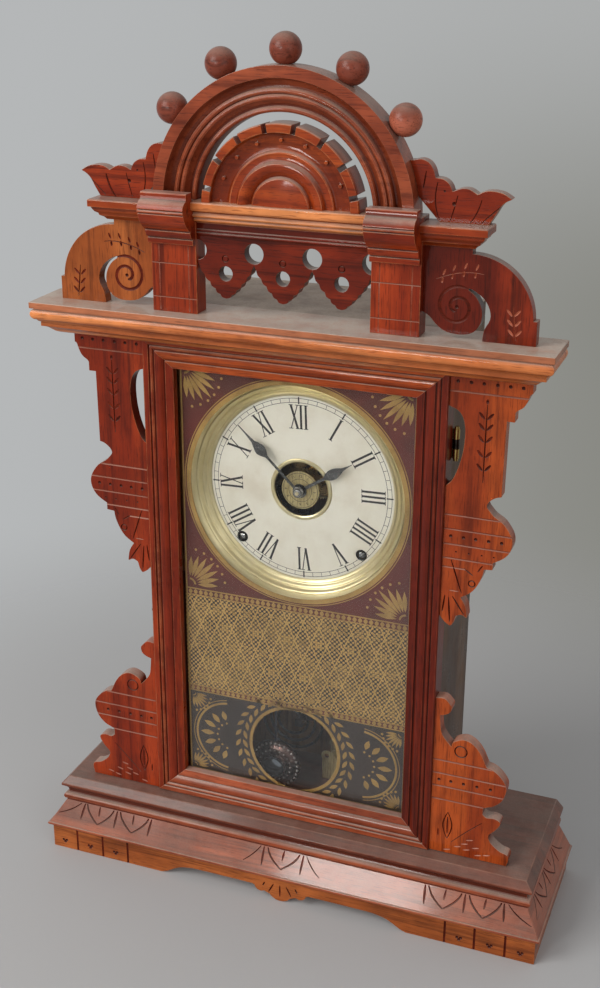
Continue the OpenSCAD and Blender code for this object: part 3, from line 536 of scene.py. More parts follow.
def build_screened_gilding():
    """Gilding screened with fine dark dots inside a net of plain gilt lozenges."""
    dot_pitch = 3.4 * MM
    material, tree, shader, place = new_material("screened_gilding")
    split = axes(tree, place)
    x = split["X"]
    z = math_node(tree, "SUBTRACT", split["Z"], NET_Z * MM)
    waves = []
    for way in (x, z):
        waves.append(math_node(tree, "SINE", math_node(tree, "MULTIPLY", way, math.tau / dot_pitch)))
    dots = ramp(tree, math_node(tree, "MULTIPLY", waves[0], waves[1]), -0.2, 0.02)
    net = []
    for sign in (1, -1):
        u = math_node(tree, "MULTIPLY", x, math.pi / (NET_ACROSS * MM))
        v = math_node(tree, "MULTIPLY", z, sign * math.pi / (NET_UP * MM))
        net.append(math_node(tree, "ABSOLUTE", math_node(tree, "COSINE", math_node(tree, "ADD", u, v))))
    inside = ramp(tree, math_node(tree, "MINIMUM", net[0], net[1]), 0.07, 0.13)
    thin = ramp(tree, noise(tree, place, 60.0, 4.0, 0.6), 0.3, 0.65, 0.75, 1.0)
    shade = math_node(tree, "MULTIPLY", math_node(tree, "MULTIPLY", dots, inside), thin)
    cloud = ramp(tree, noise(tree, place, 45.0, 4.0, 0.6), 0.35, 0.7)
    gold = mix_colour(tree, cloud, srgb(184, 148, 82), GOLD[0])
    feed(tree, shader, Base_Color=mix_colour(tree, shade, gold, srgb(22, 18, 16)), Roughness=0.5)
    return material


def build_jewel():
    material, tree, shader, place = new_material("cut_glass")
    facets = noise(tree, place, 300.0, 2.0, 0.5)
    feed(tree, shader, Base_Color=(0.2, 0.23, 0.26, 1), Roughness=ramp(tree, facets, 0.3, 0.7, 0.03, 0.12),
        Metallic=0.85)
    return material


INK = build_ink()
GILT = paint_behind_glass("gilding", *GOLD, scale=45.0, rough=0.4)
MAROON = paint_behind_glass("maroon_ground", srgb(94, 26, 12), srgb(74, 32, 22))
SOOT = paint_behind_glass("black_ground", srgb(54, 46, 42), srgb(42, 36, 34))
SCREENED = build_screened_gilding()
JEWEL = build_jewel()
paint("dial_paper", build_paper())
paint("door_glass", build_glass())


# Carving and finish of the wooden pieces.

def free_object(name, data):
    piece = bpy.data.objects.new(name, data)
    scene.collection.objects.link(piece)
    return piece


def settle(piece, materials, body, smooth=30):
    """Gives the piece its finish and body, with edges over the smooth angle kept sharp."""
    if not piece.data.materials:
        for one in materials:
            piece.data.materials.append(one)
    piece.data.shade_smooth()
    piece.data.set_sharp_from_angle(angle=math.radians(smooth))
    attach(piece, body)
    return piece


def from_bmesh(name, bm, material, body, smooth=30):
    mesh = bpy.data.meshes.new(name)
    bmesh.ops.recalc_face_normals(bm, faces=bm.faces)
    bm.to_mesh(mesh)
    bm.free()
    settle(free_object(name, mesh), [material], body, smooth)


def made_mesh(piece):
    """The mesh of an object with its modifiers or curve applied; the object goes."""
    bpy.context.view_layer.update()
    mesh = bpy.data.meshes.new_from_object(piece.evaluated_get(bpy.context.evaluated_depsgraph_get()))
    bpy.data.objects.remove(piece)
    return mesh


def merged_copy(name, join):
    bm = bmesh.new()
    bm.from_mesh(nodes[name].data)
    bmesh.ops.remove_doubles(bm, verts=bm.verts, dist=join * MM)
    bmesh.ops.dissolve_limit(bm, angle_limit=math.radians(0.4), verts=bm.verts, edges=bm.edges)
    return bm


def ease_edges(bm, width):
    """Rounds the outer edges a little, as sanding and handling do, and marks them as worn."""
    worn = bm.faces.layers.float.new("worn")
    edges = [e for e in bm.edges if e.is_manifold and e.is_convex and e.calc_face_angle() > math.radians(28)]
    made = bmesh.ops.bevel(bm, geom=edges, offset=width * MM, offset_type="OFFSET", segments=2, profile=0.5,
        affect="EDGES", clamp_overlap=False, material=-1)
    for face in made["faces"]:
        face[worn] = 1.0


def front(depth):
    """A flat face towards the front: places are x, z and how far out of the face."""
    return lambda x, z, out: at(x, depth + out, z)


def slope(foot, t, out):
    """Reach and height of a place on the base's sloping faces: t runs from the foot to the upper edge."""
    return foot - 10.2 * t + 0.85 * out, 22.8 + 16.6 * t + 0.52 * out


def slope_front(x, t, out):
    depth, z = slope(117.1, t, out)
    return at(x, depth, z)


def slope_side(side):
    def place(depth, t, out):
        reach, z = slope(191.5, t, out)
        return at(side * reach, depth, z)
    return place


def line(points, width, taper=True, closed=False):
    """A cut; a straight one gets points at its quarters, so that only its ends taper."""
    if len(points) == 2 and not closed:
        (a, b), (c, d) = points
        points = [(a + (c - a) * t, b + (d - b) * t) for t in (0, 0.25, 0.75, 1)]
    return points, width, taper, closed


def circle(x, z, r, width):
    turns = [math.tau * k / 12 for k in range(12)]
    return line([(x + r * math.cos(a), z + r * math.sin(a)) for a in turns], width, False, True)


# Finishes of the cuts, as places among a carved piece's materials: dark grooves, and ruled lines painted pale
# as a highlight.
CUT = 1
PALE_HIGHLIGHT = 2

# Shares of a cutter's radius: what is left of it at a tapered tip, and how far a punch's centre stays out.
TIP = 0.45
DOT_LIFT = 0.55


def gouge(surface, lines, dots=(), cut=0.6, finish=CUT):
    """Round-nosed cuts along lines, some of them tapered, and punched dots, on a surface of the work."""
    curve = bpy.data.curves.new("gouge", "CURVE")
    curve.dimensions = "3D"
    curve.bevel_depth = MM
    curve.bevel_resolution = 1
    curve.use_fill_caps = True
    for points, width, taper, closed in lines:
        radius = (width * width / 4 + cut * cut) / (2 * cut)
        spline = curve.splines.new("NURBS")
        spline.points.add(len(points) - 1)
        for k, (u, v) in enumerate(points):
            share = TIP if taper and k in (0, len(points) - 1) else 1
            spline.points[k].co = (*surface(u, v, (radius - cut) * share), 1)
            spline.points[k].radius = radius * share
        spline.order_u = 3
        spline.use_cyclic_u = closed
        spline.use_endpoint_u = not closed
        spline.resolution_u = 4
    bm = bmesh.new()
    if lines:
        bm.from_mesh(made_mesh(free_object("gouge", curve)))
        bmesh.ops.remove_doubles(bm, verts=bm.verts, dist=1e-7)
    for u, v, r in dots:
        bmesh.ops.create_icosphere(bm, subdivisions=2, radius=r * MM,
            matrix=Matrix.Translation(surface(u, v, r * DOT_LIFT)))
    bmesh.ops.recalc_face_normals(bm, faces=bm.faces)
    for face in bm.faces:
        face.material_index = finish
    return bm


def carve(mesh, cuts, materials):
    tool = bmesh.new()
    for bm in cuts:
        part = bpy.data.meshes.new("cut")
        bm.to_mesh(part)
        bm.free()
        tool.from_mesh(part)
    tool_mesh = bpy.data.meshes.new("gouges")
    tool.to_mesh(tool_mesh)
    tool.free()
    for one in materials:
        mesh.materials.append(one)
        tool_mesh.materials.append(one)
    work = free_object("work", mesh)
    tools = free_object("gouges", tool_mesh)
    step = work.modifiers.new("carving", "BOOLEAN")
    step.operation = "DIFFERENCE"
    step.solver = "EXACT"
    step.use_self = True
    step.object = tools
    carved = made_mesh(work)
    bpy.data.objects.remove(tools)
    return carved


def mark_faces(mesh):
    """Keeps cut rims crisp and flats flat, and marks narrow faces that lie in hollows, where shade is painted.
    """
    narrow = 2.5 * MM
    bm = bmesh.new()
    bm.from_mesh(mesh)
    worn = bm.faces.layers.float.get("worn")
    hollow_shade = bm.faces.layers.float.new("hollow_shade")
    for edge in bm.edges:
        if len({(face.material_index, face[worn] > 0.5) for face in edge.link_faces}) > 1:
            edge.smooth = False
    for face in bm.faces:
        rim = sum(edge.calc_length() for edge in face.edges)
        concave = [e for e in face.edges if e.is_manifold and e.calc_face_angle_signed() < -0.05]
        inner = sum(edge.calc_length() for edge in concave)
        width = 2 * face.calc_area() / rim
        face[hollow_shade] = inner / rim * min(1, narrow / max(width, 1e-6))
    bm.to_mesh(mesh)
    bm.free()


def dress(name, finish, ease, cuts=(), join=0.002):
    """The wooden piece with eased edges, carving and finish, in place of its CAD node."""
    bm = merged_copy(name, join)
    ease_edges(bm, ease)
    mesh = bpy.data.meshes.new("finished_" + name)
    bm.to_mesh(mesh)
    bm.free()
    # The cut finishes: dark grooves, and the pale painted highlight of ruled lines.
    materials = [finish, GROOVE, RULED_HIGHLIGHT]
    if cuts:
        mesh = carve(mesh, cuts, materials)
    piece = settle(free_object("finished_" + name, mesh), materials, body_of[name])
    mark_faces(piece.data)
    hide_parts(name)


def mirrored(side, lines):
    return [([(side * u, v) for u, v in points], *shape) for points, *shape in lines]


def mirrored_dots(side, dots):
    return [(side * u, v, r) for u, v, r in dots]


# Base: apron with grooves and punched marks, moulding with carved sprays.

def carve_apron():
    lines = []
    dots = []
    for side in (-1, 1):
        for x in (125.5, 147, 169):
            lines.append(line([(side * x, -1.5), (side * x, 21.5)], 2.0, False))
        for x in (136, 158, 180):
            dots += [(side * (x + a), 6.8 + b, 1.5) for a, b in ((-1.3, 0.5), (1.3, 0.5), (0, -1.1))]
        lines += mirrored(side, [line([(5, 14), (9, 6)], 1.4), line([(12, 14), (13.6, 10.5)], 1.4)])
    lines.append(line([(0, 14), (0, 4)], 1.4))
    return [gouge(front(APRON_FACE), lines, dots)]


def spray(centre, half):
    """A pointed spray: two arcs that meet at the bottom, with a short stroke between them."""
    arcs = [line([(centre + h, 0.97), (centre + h * 0.85, 0.62), (centre, 0.28)], 2.3) for h in (-half, half)]
    return arcs + [line([(centre + 0.5, 0.97), (centre, 0.6)], 1.8)]


def stroke(upper, lower, end=0.3):
    """A short straight cut down the slope."""
    return line([(upper, 0.97), (lower, end)], 2.1)


def sweep(upper, middle, lower, bend=0.6, end=0.36):
    """A thin cut that bends outwards as it runs down the slope."""
    return line([(upper, 0.97), (middle, bend), (lower, end)], 1.4)


def carve_slope():
    lines = spray(0, 12.5)
    for side in (-1, 1):
        lines += mirrored(side, [stroke(15.5, 15.2, 0.26), sweep(18, 22, 30, 0.6, 0.3)])
        lines += mirrored(side, spray(122.6, 12) + spray(151.6, 11.5))
        lines += mirrored(side, [stroke(108, 109), stroke(137.2, 137.6), stroke(165, 166.4, 0.33),
            sweep(168, 174, 186, 0.62, 0.4)])
    return [gouge(slope_front, lines)]


def carve_slope_side(side):
    lines = spray(74, 12) + spray(45, 12)
    lines += [stroke(x, x) for x in (88.5, 59.5, 30.5)]
    lines += [sweep(91, 95, 104), sweep(28, 24, 15)]
    return [gouge(slope_side(side), lines)]


# Door brackets: incised lines, rows of dots, sprig, fan and petal.

def rules(ends):
    """Lines ruled outwards from the door, painted pale as a highlight, each given as its height and its outer
    end.
    """
    return [line([(106.3, z), (x, z)], 1.3, False) for z, x in ends]


def bracket_cuts(side, ruled, lines, dots):
    face = front(BRACKET_FACE)
    # Ruled lines get the pale finish, a painted highlight.
    return [gouge(face, mirrored(side, ruled), (), 0.4, PALE_HIGHLIGHT),
        gouge(face, mirrored(side, lines), mirrored_dots(side, dots))]


def leaf_pairs(x, foot, top, heights):
    """A long sprig: a stem with pairs of leaves and one leaf at its top."""
    lines = [line([(x, foot), (x + 0.3, top)], 1.0)]
    for z in heights:
        for way in (-1, 1):
            lines.append(line([(x + way * 0.8, z - 3), (x + way * 4.6, z + 1.5)], 2.3))
    lines.append(line([(x + 0.3, top), (x + 0.3, top + 3.5)], 2.3))
    return lines


def carve_upper_bracket(side):
    ruled = rules(((402.5, 156), (319.5, 143), (309.5, 151), (299, 150.5), (289, 140), (282.5, 122)))
    ruled.append(line([(111.5, 266), (118, 266)], 1.0))
    lines = [circle(126.5, 273, 2.2, 1.1)]
    lines += leaf_pairs(130, 344, 396, (389, 382, 374, 364, 355))
    lines += [line([(112, 288), (120, 265)], 1.2)]
    lines += [line(ends, 1.3) for ends in ([(114, 262), (122.5, 249.5)], [(111.5, 261), (113, 243)],
        [(109, 262), (107.6, 250)])]
    lines += [line([(121, 283), (127, 279)], 1.2), line([(133, 287), (130, 282)], 1.2)]
    dots = [(x, 409, 1.5) for x in (111, 119.5, 127.5, 136, 144, 152)]
    dots += [(x, 304.6, 1.5) for x in (111, 119.5, 127.5, 136, 144.5)]
    dots += [(x, 294, 0.8) for x in (115, 123.5, 132, 140)]
    return bracket_cuts(side, ruled, lines, dots)


def carve_lower_bracket(side):
    ruled = rules(((136, 148), (125.5, 158.5), (115.2, 157), (104.5, 144)))
    ticks = ((116.5, 63.4), (124, 67.6), (129, 71), (132.5, 75), (130.5, 66.5), (137, 69.5), (139, 64),
        (145, 65.6))
    ruled += [line([(x, z), (x + 5, z + 1.2)], 1.2) for x, z in ticks]
    lines = [circle(125.5, 145.5, 4.4, 1.1)]
    lines += [line([(118.6, 95), (x, 88), (x, 80), (118.6, 73)], 1.2) for x in (115.4, 121.8)]
    lines += [line([(118.6, 91), (118.6, 77)], 1.6), line([(121.9, 70.8), (130, 80), (143.1, 92)], 1.1),
        line([(112, 80), (112.2, 74)], 1.3)]
    dots = [(x, 120.3, 1.5) for x in (111, 119.5, 128.5, 138, 147.5)]
    return bracket_cuts(side, ruled, lines, dots)


# Pediment: framed columns, ringed pendants, scrolls, sprigs and leaf veins.

def carve_column(side):
    face = front(COLUMN_FACE)
    upright = [line([(x, 439.5), (x, 482)], 1.0, False) for x in (63.3, 83.8)]
    level = [line([(57, z), (90, z)], 1.0, False) for z in (448, 470)]
    # Both sets of lines get the pale finish, a painted highlight.
    return [gouge(face, mirrored(side, upright), (), 0.3, PALE_HIGHLIGHT),
        gouge(face, mirrored(side, level), (), 0.5, PALE_HIGHLIGHT)]


def carve_frieze():
    return [gouge(front(FRIEZE_FACE), [circle(x, 475.5, 2.0, 0.9) for x in (-38.6, 0, 38.6)])]


def carve_wing(side):
    """A scroll round its eye, and two sprigs, painted pale as a highlight on the right wing."""
    face = front(WING_FACE)
    eye = (110.5, 458)
    turns = []
    for k in range(26):
        a = math.radians(58 + 22.5 * k)
        r = 13.4 - 0.43 * k
        turns.append((eye[0] + r * math.cos(a), eye[1] + r * math.sin(a)))
    sprigs = [line([(147, 441), (144.5, 462)], 1.0), line([(126, 479), (113, 481.5), (97, 474)], 1.1)]
    for z, x in ((458, 144.9), (452, 145.5), (446, 146.2)):
        sprigs += [line([(x + way * 0.6, z - 2.5), (x + way * 4.2, z + 1.5)], 1.9) for way in (-1, 1)]
    for x, z in ((121, 480.4), (114, 480.7), (107, 478.8), (101, 476)):
        sprigs.append(line([(x, z + 0.6), (x + 1.6, z + 4.4)], 1.7))
        sprigs.append(line([(x, z - 0.6), (x - 0.4, z - 4.2)], 1.7))
    # On the right wing the sprigs get the pale finish, a painted highlight.
    return [gouge(face, mirrored(side, [line(turns, 2.4)]), mirrored_dots(side, [(*eye, 1.5)])),
        gouge(face, mirrored(side, sprigs), (), 0.55, CUT if side < 0 else PALE_HIGHLIGHT)]


def carve_crest(side):
    veins = [line(points, 1.2) for points in ([(95.7, 531), (92.6, 519), (97.5, 509)],
        [(108, 524), (106, 515), (103.9, 509)], [(122.4, 522.5), (120.5, 514), (116, 508.5)])]
    veins += [line([(136, 521), (129, 515), (123, 509)], 1.1), line([(88.5, 537), (87, 527)], 1.1)]
    dots = [(106, 519, 1.6), (100, 526, 0.9)]
    return [gouge(front(WING_FACE), mirrored(side, veins), mirrored_dots(side, dots), 0.35)]


dress("apron_front", walnut("amber", "x"), 0.4, carve_apron())
dress("base_moulding_front", walnut("soft", "x"), 0.4, carve_slope())
dress("base_top", walnut("brown", "x"), 0.5)
dress("cornice_moulding", walnut("golden_sheen", "x"), 0.3)
dress("cornice_board", walnut("dusty", "x"), 0.5)
dress("centre_rail", walnut("golden_sheen", "x"), 0.25)
dress("frieze", walnut("dark", "x"), 0.3, carve_frieze(), 0.2)
dress("arch", walnut("soft", "x"), 0.25)
dress("rosette", walnut("orange", "x"), 0.25)
dress("arch_balls", TURNED, 0.2)
dress("door_rail_top", walnut("orange", "x"), 0.25)
dress("door_rail_bottom", walnut("soft", "x"), 0.25)
for side, hand, wing_tone, stile_tone, bracket_tone in ((-1, "left", "amber", "red", "red"),
        (1, "right", "dark", "dark", "orange")):
    bracket_wood = walnut(bracket_tone, "z")
    dress("apron_" + hand, walnut("amber", "y"), 0.4)
    dress("base_moulding_" + hand, walnut("soft", "y"), 0.4, carve_slope_side(side))
    dress("column_" + hand, walnut("red", "z"), 0.4, carve_column(side))
    dress("column_cap_" + hand, walnut("red", "x"), 0.2)
    dress("end_shelf_" + hand, walnut("orange", "x"), 0.25)
    dress("scroll_wing_" + hand, walnut(wing_tone, "z"), 0.3, carve_wing(side), 0.3)
    dress("leaf_crest_" + hand, walnut("red", "x"), 0.3, carve_crest(side), 0.3)
    dress("door_stile_" + hand, walnut(stile_tone, "z"), 0.25)
    dress("upper_bracket_" + hand, bracket_wood, 0.25, carve_upper_bracket(side), 0.3)
    dress("lower_bracket_" + hand, bracket_wood, 0.25, carve_lower_bracket(side), 0.3)
    dress("case_side_" + hand, stained("z"), 0.5)
dress("case_top", stained("x"), 0.5)
dress("cornice_rail", stained("x"), 0.3)
dress("case_back", POPLAR, 0.5)
dress("dial_blocks", POPLAR, 0.4)


# Turned shapes.

def spin(bm, geom, centre, angle, steps, merge):
    """Turns points, edges or faces round an axis that runs front to back."""
    bmesh.ops.spin(bm, geom=geom, cent=at(centre[0], 0, centre[1]), axis=(0, 1, 0), dvec=(0, 0, 0),
        angle=angle, steps=steps, use_merge=merge, use_normal_flip=False, use_duplicate=False)


def add_turned(bm, centre, profile, steps):
    """A profile of radius and depth, turned all the way round."""
    points = [bm.verts.new(at(centre[0] + r, d, centre[1])) for r, d in profile]
    edges = [bm.edges.new(pair) for pair in zip(points, points[1:])]
    spin(bm, edges + points, centre, math.tau, steps, True)
    bmesh.ops.remove_doubles(bm, verts=bm.verts, dist=1e-6)


def add_ring(bm, centre, inner, outer, back, face, steps=96):
    """A flat ring of rectangular section."""
    section = ((inner, back), (outer, back), (outer, face), (inner, face))
    corners = [bm.verts.new(at(centre[0] + r, d, centre[1])) for r, d in section]
    edges = [bm.edges.new((corners[k], corners[(k + 1) % 4])) for k in range(4)]
    spin(bm, edges + corners, centre, math.tau, steps, True)


def add_disc(bm, centre, r, back, face, sides):
    """A flat disc that faces the front."""
    place = Matrix.Translation(at(centre[0], (back + face) / 2, centre[1]))
    bmesh.ops.create_cone(bm, cap_ends=True, segments=sides, radius1=r * MM, radius2=r * MM,
        depth=(face - back) * MM, matrix=place @ Matrix.Rotation(math.pi / 2, 4, "X"))


# Dial print: it sits two degrees round on the dial.

PRINT_FACE = 74.85
PRINT_TURN = -2
NUMERALS = ("XII", "I", "II", "III", "IIII", "V", "VI", "VII", "VIII", "IX", "X", "XI")
LETTER_ROOM = {"I": 3.5, "V": 6.1, "X": 6.1}
LETTER_FOOT = 43.5
LETTER_TOP = 60
THICK = 1.6
THIN = 0.7
TRACK = (61.8, 64.8)


def on_dial(hour, u, v):
    """A point of the print at an hour's place: u across, v out from the centre."""
    a = math.radians(30 * hour + PRINT_TURN)
    x = v * math.sin(a) + u * math.cos(a)
    return at(x, PRINT_FACE, DIAL[1] + v * math.cos(a) - u * math.sin(a))


def add_bar(bm, start, end, width, place, flat=True):
    """A printed bar, cut square to the baseline or across its own run."""
    (a, b), (c, d) = start, end
    if flat:
        shift = (width / 2, 0)
    else:
        run = math.hypot(c - a, d - b)
        shift = (width / 2 * (d - b) / run, -width / 2 * (c - a) / run)
    corners = [(a - shift[0], b - shift[1]), (a + shift[0], b + shift[1]), (c + shift[0], d + shift[1]),
        (c - shift[0], d - shift[1])]
    bm.faces.new([bm.verts.new(place(*corner)) for corner in corners])


def thicken(bm, faces, depth):
    """Gives flat shapes a body, back from their faces."""
    grown = bmesh.ops.extrude_face_region(bm, geom=faces)
    moved = [v for v in grown["geom"] if isinstance(v, bmesh.types.BMVert)]
    bmesh.ops.translate(bm, verts=moved, vec=Vector((0, depth * MM, 0)))


def add_letter(bm, letter, x, hour):
    place = partial(on_dial, hour)
    if letter == "I":
        add_bar(bm, (x, LETTER_FOOT), (x, LETTER_TOP), 1.5, place)
        serifs = ((x, LETTER_FOOT), (x, LETTER_TOP))
    elif letter == "V":
        add_bar(bm, (x - 2.4, LETTER_TOP), (x, LETTER_FOOT), THICK, place)
        add_bar(bm, (x + 2.4, LETTER_TOP), (x, LETTER_FOOT), THIN, place)
        serifs = ((x - 2.4, LETTER_TOP), (x + 2.4, LETTER_TOP))
    else:
        left, right = x - 2.35, x + 2.35
        add_bar(bm, (left, LETTER_TOP), (right, LETTER_FOOT), THICK, place)
        add_bar(bm, (right, LETTER_TOP), (left, LETTER_FOOT), THIN, place)
        serifs = ((left, LETTER_TOP), (right, LETTER_TOP), (left, LETTER_FOOT), (right, LETTER_FOOT))
    for u, v in serifs:
        add_bar(bm, (u - 1.5, v), (u + 1.5, v), 0.5, place, False)


def build_dial_print():
    bm = bmesh.new()
    for hour, numeral in enumerate(NUMERALS):
        x = -sum(LETTER_ROOM[c] for c in numeral) / 2
        for c in numeral:
            add_letter(bm, c, x + LETTER_ROOM[c] / 2, hour)
            x += LETTER_ROOM[c]
    for minute in range(60):
        place = partial(on_dial, minute / 5)
        if minute % 5:
            add_bar(bm, (0, TRACK[0]), (0, TRACK[1]), 0.3, place)
        else:
            add_bar(bm, (0, 60.9), (0, 65.7), 0.95, place)
    thicken(bm, bm.faces[:], 0.08)
    for radius in TRACK:
        add_ring(bm, DIAL, radius - 0.16, radius + 0.16, 74.77, PRINT_FACE, 144)
    from_bmesh("dial_numerals", bm, INK, "case")


def build_alarm_figures():
    """Small figures 1 to 12 and two rings, engraved and blacked on the alarm disc."""
    bm = bmesh.new()
    for hour in range(1, 13):
        text = bpy.data.curves.new("figure", "FONT")
        text.body = str(hour)
        text.size = 2.6 * MM
        text.align_x = "CENTER"
        text.align_y = "CENTER"
        text.extrude = 0.05 * MM
        mesh = made_mesh(free_object("figure", text))
        a = math.radians(30 * hour)
        centre = at(10.2 * math.sin(a), 77.02, DIAL[1] + 10.2 * math.cos(a))
        turn = Matrix.Rotation(a, 4, "Y") @ Matrix.Rotation(math.pi / 2, 4, "X")
        mesh.transform(Matrix.Translation(centre) @ turn)
        bm.from_mesh(mesh)
    bmesh.ops.remove_doubles(bm, verts=bm.verts, dist=1e-7)
    for radius in (8.2, 12.5):
        add_ring(bm, DIAL, radius - 0.12, radius + 0.12, 76.9, 77.06, 64)
    from_bmesh("alarm_figures", bm, INK, "alarm")


build_dial_print()
build_alarm_figures()


# Painted glass: the colours lie behind the pane, gilding nearest to it.

PANE_EDGE = 84
SOOT_ZONE = (77.8, 146.4)
LOWER_BORDER = (146.4, 151.4)
NET_ZONE = (151.4, 224.6)
UPPER_BORDER = (224.6, 230.5)
MAROON_ZONE = (230.5, 398)


def add_panel(bm, across, up, layer):
    """A flat block, given by its ends sideways and up and by its layer behind the pane."""
    middle = at(sum(across) / 2, sum(layer) / 2, sum(up) / 2)
    width, depth, height = (end - start for start, end in (across, layer, up))
    size = Matrix.Diagonal((width * MM, depth * MM, height * MM, 1))
    bmesh.ops.create_cube(bm, size=1, matrix=Matrix.Translation(middle) @ size)


def plain_ground(name, material, zones):
    bm = bmesh.new()
    for zone in zones:
        add_panel(bm, (-PANE_EDGE, PANE_EDGE), zone, GROUND)
    from_bmesh(name, bm, material, "door")


def pierced_ground(name, material, zone, centre, radius):
    """A painted field with a round clear place in it."""
    bm = bmesh.new()
    add_panel(bm, (-PANE_EDGE, PANE_EDGE), zone, GROUND)
    mesh = bpy.data.meshes.new(name)
    bm.to_mesh(mesh)
    bm.free()
    tool = bmesh.new()
    add_disc(tool, centre, radius, 76, 96, 96)
    mesh = carve(mesh, [tool], [material])
    settle(free_object(name, mesh), [material], "door")


def petal(bm, base, angle, length, width):
    """One leaf-shaped touch of gilding, pointed at both ends."""
    a = math.radians(angle)
    along = Vector((math.sin(a), math.cos(a)))
    across = Vector((math.cos(a), -math.sin(a)))
    outline = [(0, 0), (0.2, 0.62), (0.45, 1), (0.7, 0.8), (1, 0), (0.7, -0.8), (0.45, -1), (0.2, -0.62)]
    verts = []
    for t, w in outline:
        x, z = Vector(base) + along * (t * length) + across * (w * width / 2)
        verts.append(bm.verts.new(at(x, GILDING[1], z)))
    thicken(bm, [bm.faces.new(verts)], GILDING[1] - GILDING[0])


def bead(bm, centre, r):
    add_disc(bm, centre, r, *GILDING, 8)


def polar(centre, angle, radius):
    a = math.radians(angle)
    return centre[0] + radius * math.sin(a), centre[1] + radius * math.cos(a)


def add_arc(bm, centre, radius, width, start, stop):
    """A flat line of gilding along part of a circle."""
    back, face = GILDING
    inner = polar(centre, start, radius - width / 2)
    outer = polar(centre, start, radius + width / 2)
    section = ((inner, back), (outer, back), (outer, face), (inner, face))
    end = bm.faces.new([bm.verts.new(at(x, d, z)) for (x, z), d in section])
    spin(bm, [end], centre, math.radians(stop - start), 36, False)


def palmette(bm, corner, towards, reach):
    """A fan of petals that opens from a corner, with beads between its tips."""
    step = 13.5
    for k in range(-3, 4):
        angle = towards + step * k
        length = reach * (0.8 - 0.075 * abs(k))
        petal(bm, polar(corner, angle, reach * 0.24), angle, length, reach * 0.125)
    for k in range(-3, 3):
        angle = towards + step * (k + 0.5)
        bead(bm, polar(corner, angle, reach * 1.04), 1.0)
        bead(bm, polar(corner, angle, reach * 0.16), reach * 0.03)


def laurel(bm, centre, radius, start, stop, count, leaf):
    """Pairs of leaves that follow a circle, all pointing one way round."""
    turn = 1 if stop > start else -1
    for k in range(count):
        a = start + (stop - start) * k / (count - 1)
        for lean in (-1, 1):
            base = polar(centre, a, radius - turn * lean)
            petal(bm, base, a + turn * 90 + 28 * lean, leaf, 3.0)


def build_gilt_lines():
    bm = bmesh.new()
    for x in (-82.9, 82.9):
        add_panel(bm, (x - 0.6, x + 0.6), (77.8, 398), GILDING)
    for z in (151, 225, 230, 146.8, 79.6):
        add_panel(bm, (-82.3, 82.3), (z - 0.45, z + 0.45), GILDING)
    add_ring(bm, DIAL, 77.2, 80.6, *GILDING, 128)
    add_ring(bm, DIAL, 81.4, 82.0, *GILDING, 128)
    add_ring(bm, WINDOW, 33, 35.4, *GILDING)
    for side in (-1, 1):
        for radius, width in ((27.4, 1.6), (29.9, 0.5)):
            add_arc(bm, (side * 50, WINDOW[1]), radius, width, 90 * side - 84, 90 * side + 84)
    from_bmesh("gilt_lines", bm, GILT, "door")


def build_gilt_ornament():
    """Petals along the net, fans in the corners, laurel round the window, half rosettes beside it."""
    bm = bmesh.new()
    for k in range(41):
        x = -80 + 4 * k
        petal(bm, (x, 225.4), 0, 4.2, 3.2)
        petal(bm, (x, 150.6), 180, 3.6, 3.2)
    for side in (-1, 1):
        palmette(bm, (side * 80.5, 394.5), 180 + side * 45, 27)
        palmette(bm, (side * 80.5, 233), side * -45, 27)
        laurel(bm, WINDOW, 41.5, side * 12, side * 168, 15, 7.5)
        palmette(bm, (side * 80.4, 144.2), 180 + side * 45, 14)
        palmette(bm, (side * 80.4, 81.8), side * -45, 14)
        middle = (side * 50, WINDOW[1])
        for k in range(-3, 4):
            a = 90 * side + 24 * k
            petal(bm, polar(middle, a, 13.5), a, 11 - abs(k), 4.2)
            bead(bm, polar(middle, a, 11), 0.9)
    bead(bm, (0, 154.3), 0.8)
    from_bmesh("gilt_ornament", bm, GILT, "door")


def build_net_flowers():
    """A four-petalled flower in each lozenge of the net; every other row is shifted by half a lozenge."""
    bm = bmesh.new()
    for row in range(5):
        shifted = row % 2
        for column in range(13 - shifted):
            middle = (-72 + NET_ACROSS * (column + shifted / 2), NET_Z + NET_UP / 2 * (row - 2))
            for a in (45, 135, 225, 315):
                petal(bm, polar(middle, a, 1.0), a, 3.0, 1.9)
            bead(bm, middle, 0.7)
    from_bmesh("diaper_flowers", bm, GILT, "door")


pierced_ground("spandrel_ground", MAROON, MAROON_ZONE, DIAL, 77.2)
pierced_ground("lower_ground", SOOT, SOOT_ZONE, WINDOW, 33.4)
plain_ground("diaper_ground", SCREENED, [NET_ZONE])
plain_ground("border_ground", MAROON, [UPPER_BORDER, LOWER_BORDER])
build_gilt_lines()
build_gilt_ornament()
build_net_flowers()


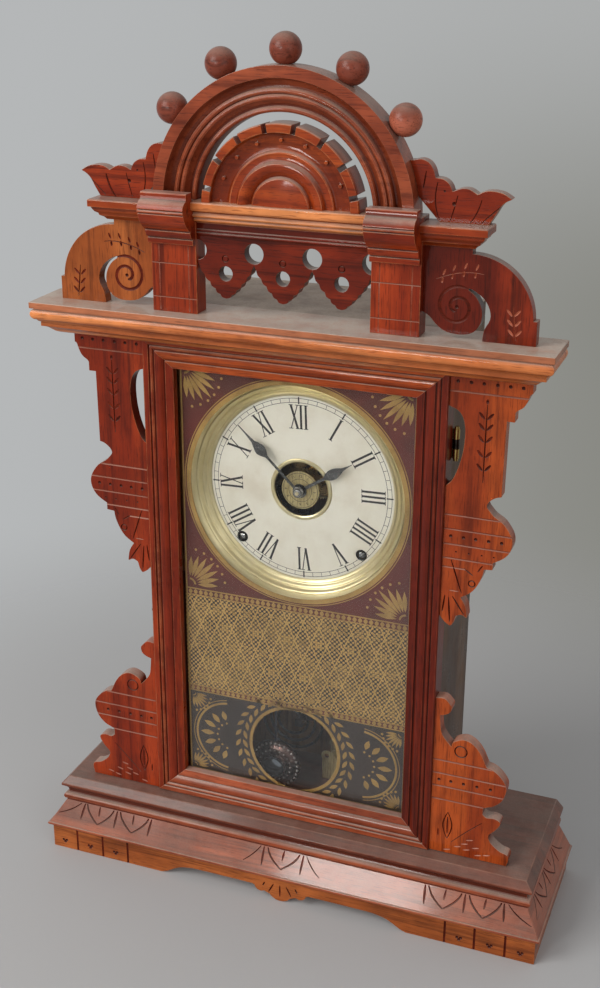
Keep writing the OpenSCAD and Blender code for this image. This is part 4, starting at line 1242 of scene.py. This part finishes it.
# Pendulum bob: beaded rim and a cut-glass jewel.

JEWEL_PROFILE = [(0, 69.6), (8.2, 69.6), (8.4, 70.2), (7.4, 71.8), (5.6, 73.1), (3.2, 73.9), (0, 74.1)]


def build_bob():
    bm = bmesh.new()
    for count, radius, depth, size in ((30, 17.7, 66.9, 1.25), (20, 12.2, 67.6, 0.9)):
        for k in range(count):
            x, z = polar(BOB, 360 * k / count, radius)
            bmesh.ops.create_icosphere(bm, subdivisions=1, radius=size * MM,
                matrix=Matrix.Translation(at(x, depth, z)))
    from_bmesh("bob_beads", bm, SILVERED, "pendulum", 60)
    bm = bmesh.new()
    add_turned(bm, BOB, JEWEL_PROFILE, 16)
    from_bmesh("bob_jewel", bm, JEWEL, "pendulum", 12)
    bm = bmesh.new()
    add_ring(bm, BOB, 8.3, 9.5, 69.3, 70.9, 32)
    from_bmesh("jewel_setting", bm, SILVERED, "pendulum", 60)


build_bob()


# Steel squares on the winding arbors, and the turned nut that holds the minute hand.

NUT_PROFILE = [(1.3, 80.8), (3.8, 80.8), (3.8, 81.4), (3.3, 81.8), (2.7, 82.9), (2.0, 83.3), (1.3, 83.3),
    (1.3, 80.8)]


def build_winding_square(name, x, body):
    bm = bmesh.new()
    size = Matrix.Diagonal((3.7 * MM, 8 * MM, 3.7 * MM, 1))
    bmesh.ops.create_cube(bm, size=1, matrix=Matrix.Translation(at(x, 70.8, 271)) @ size)
    outer = [e for e in bm.edges if all(v.co.y < at(x, 71, 271).y for v in e.verts)]
    bmesh.ops.bevel(bm, geom=outer, offset=0.9 * MM, offset_type="OFFSET", segments=3, profile=0.5,
        affect="EDGES", clamp_overlap=True, material=-1)
    from_bmesh(name, bm, STEEL, body)


def build_hand_nut():
    bm = bmesh.new()
    add_turned(bm, DIAL, NUT_PROFILE, 32)
    from_bmesh("hand_nut", bm, STEEL, body_of["minute_hand"])


build_winding_square("time_square", 44, "time_wheel")
build_winding_square("strike_square", -44, "strike_wheel")
build_hand_nut()
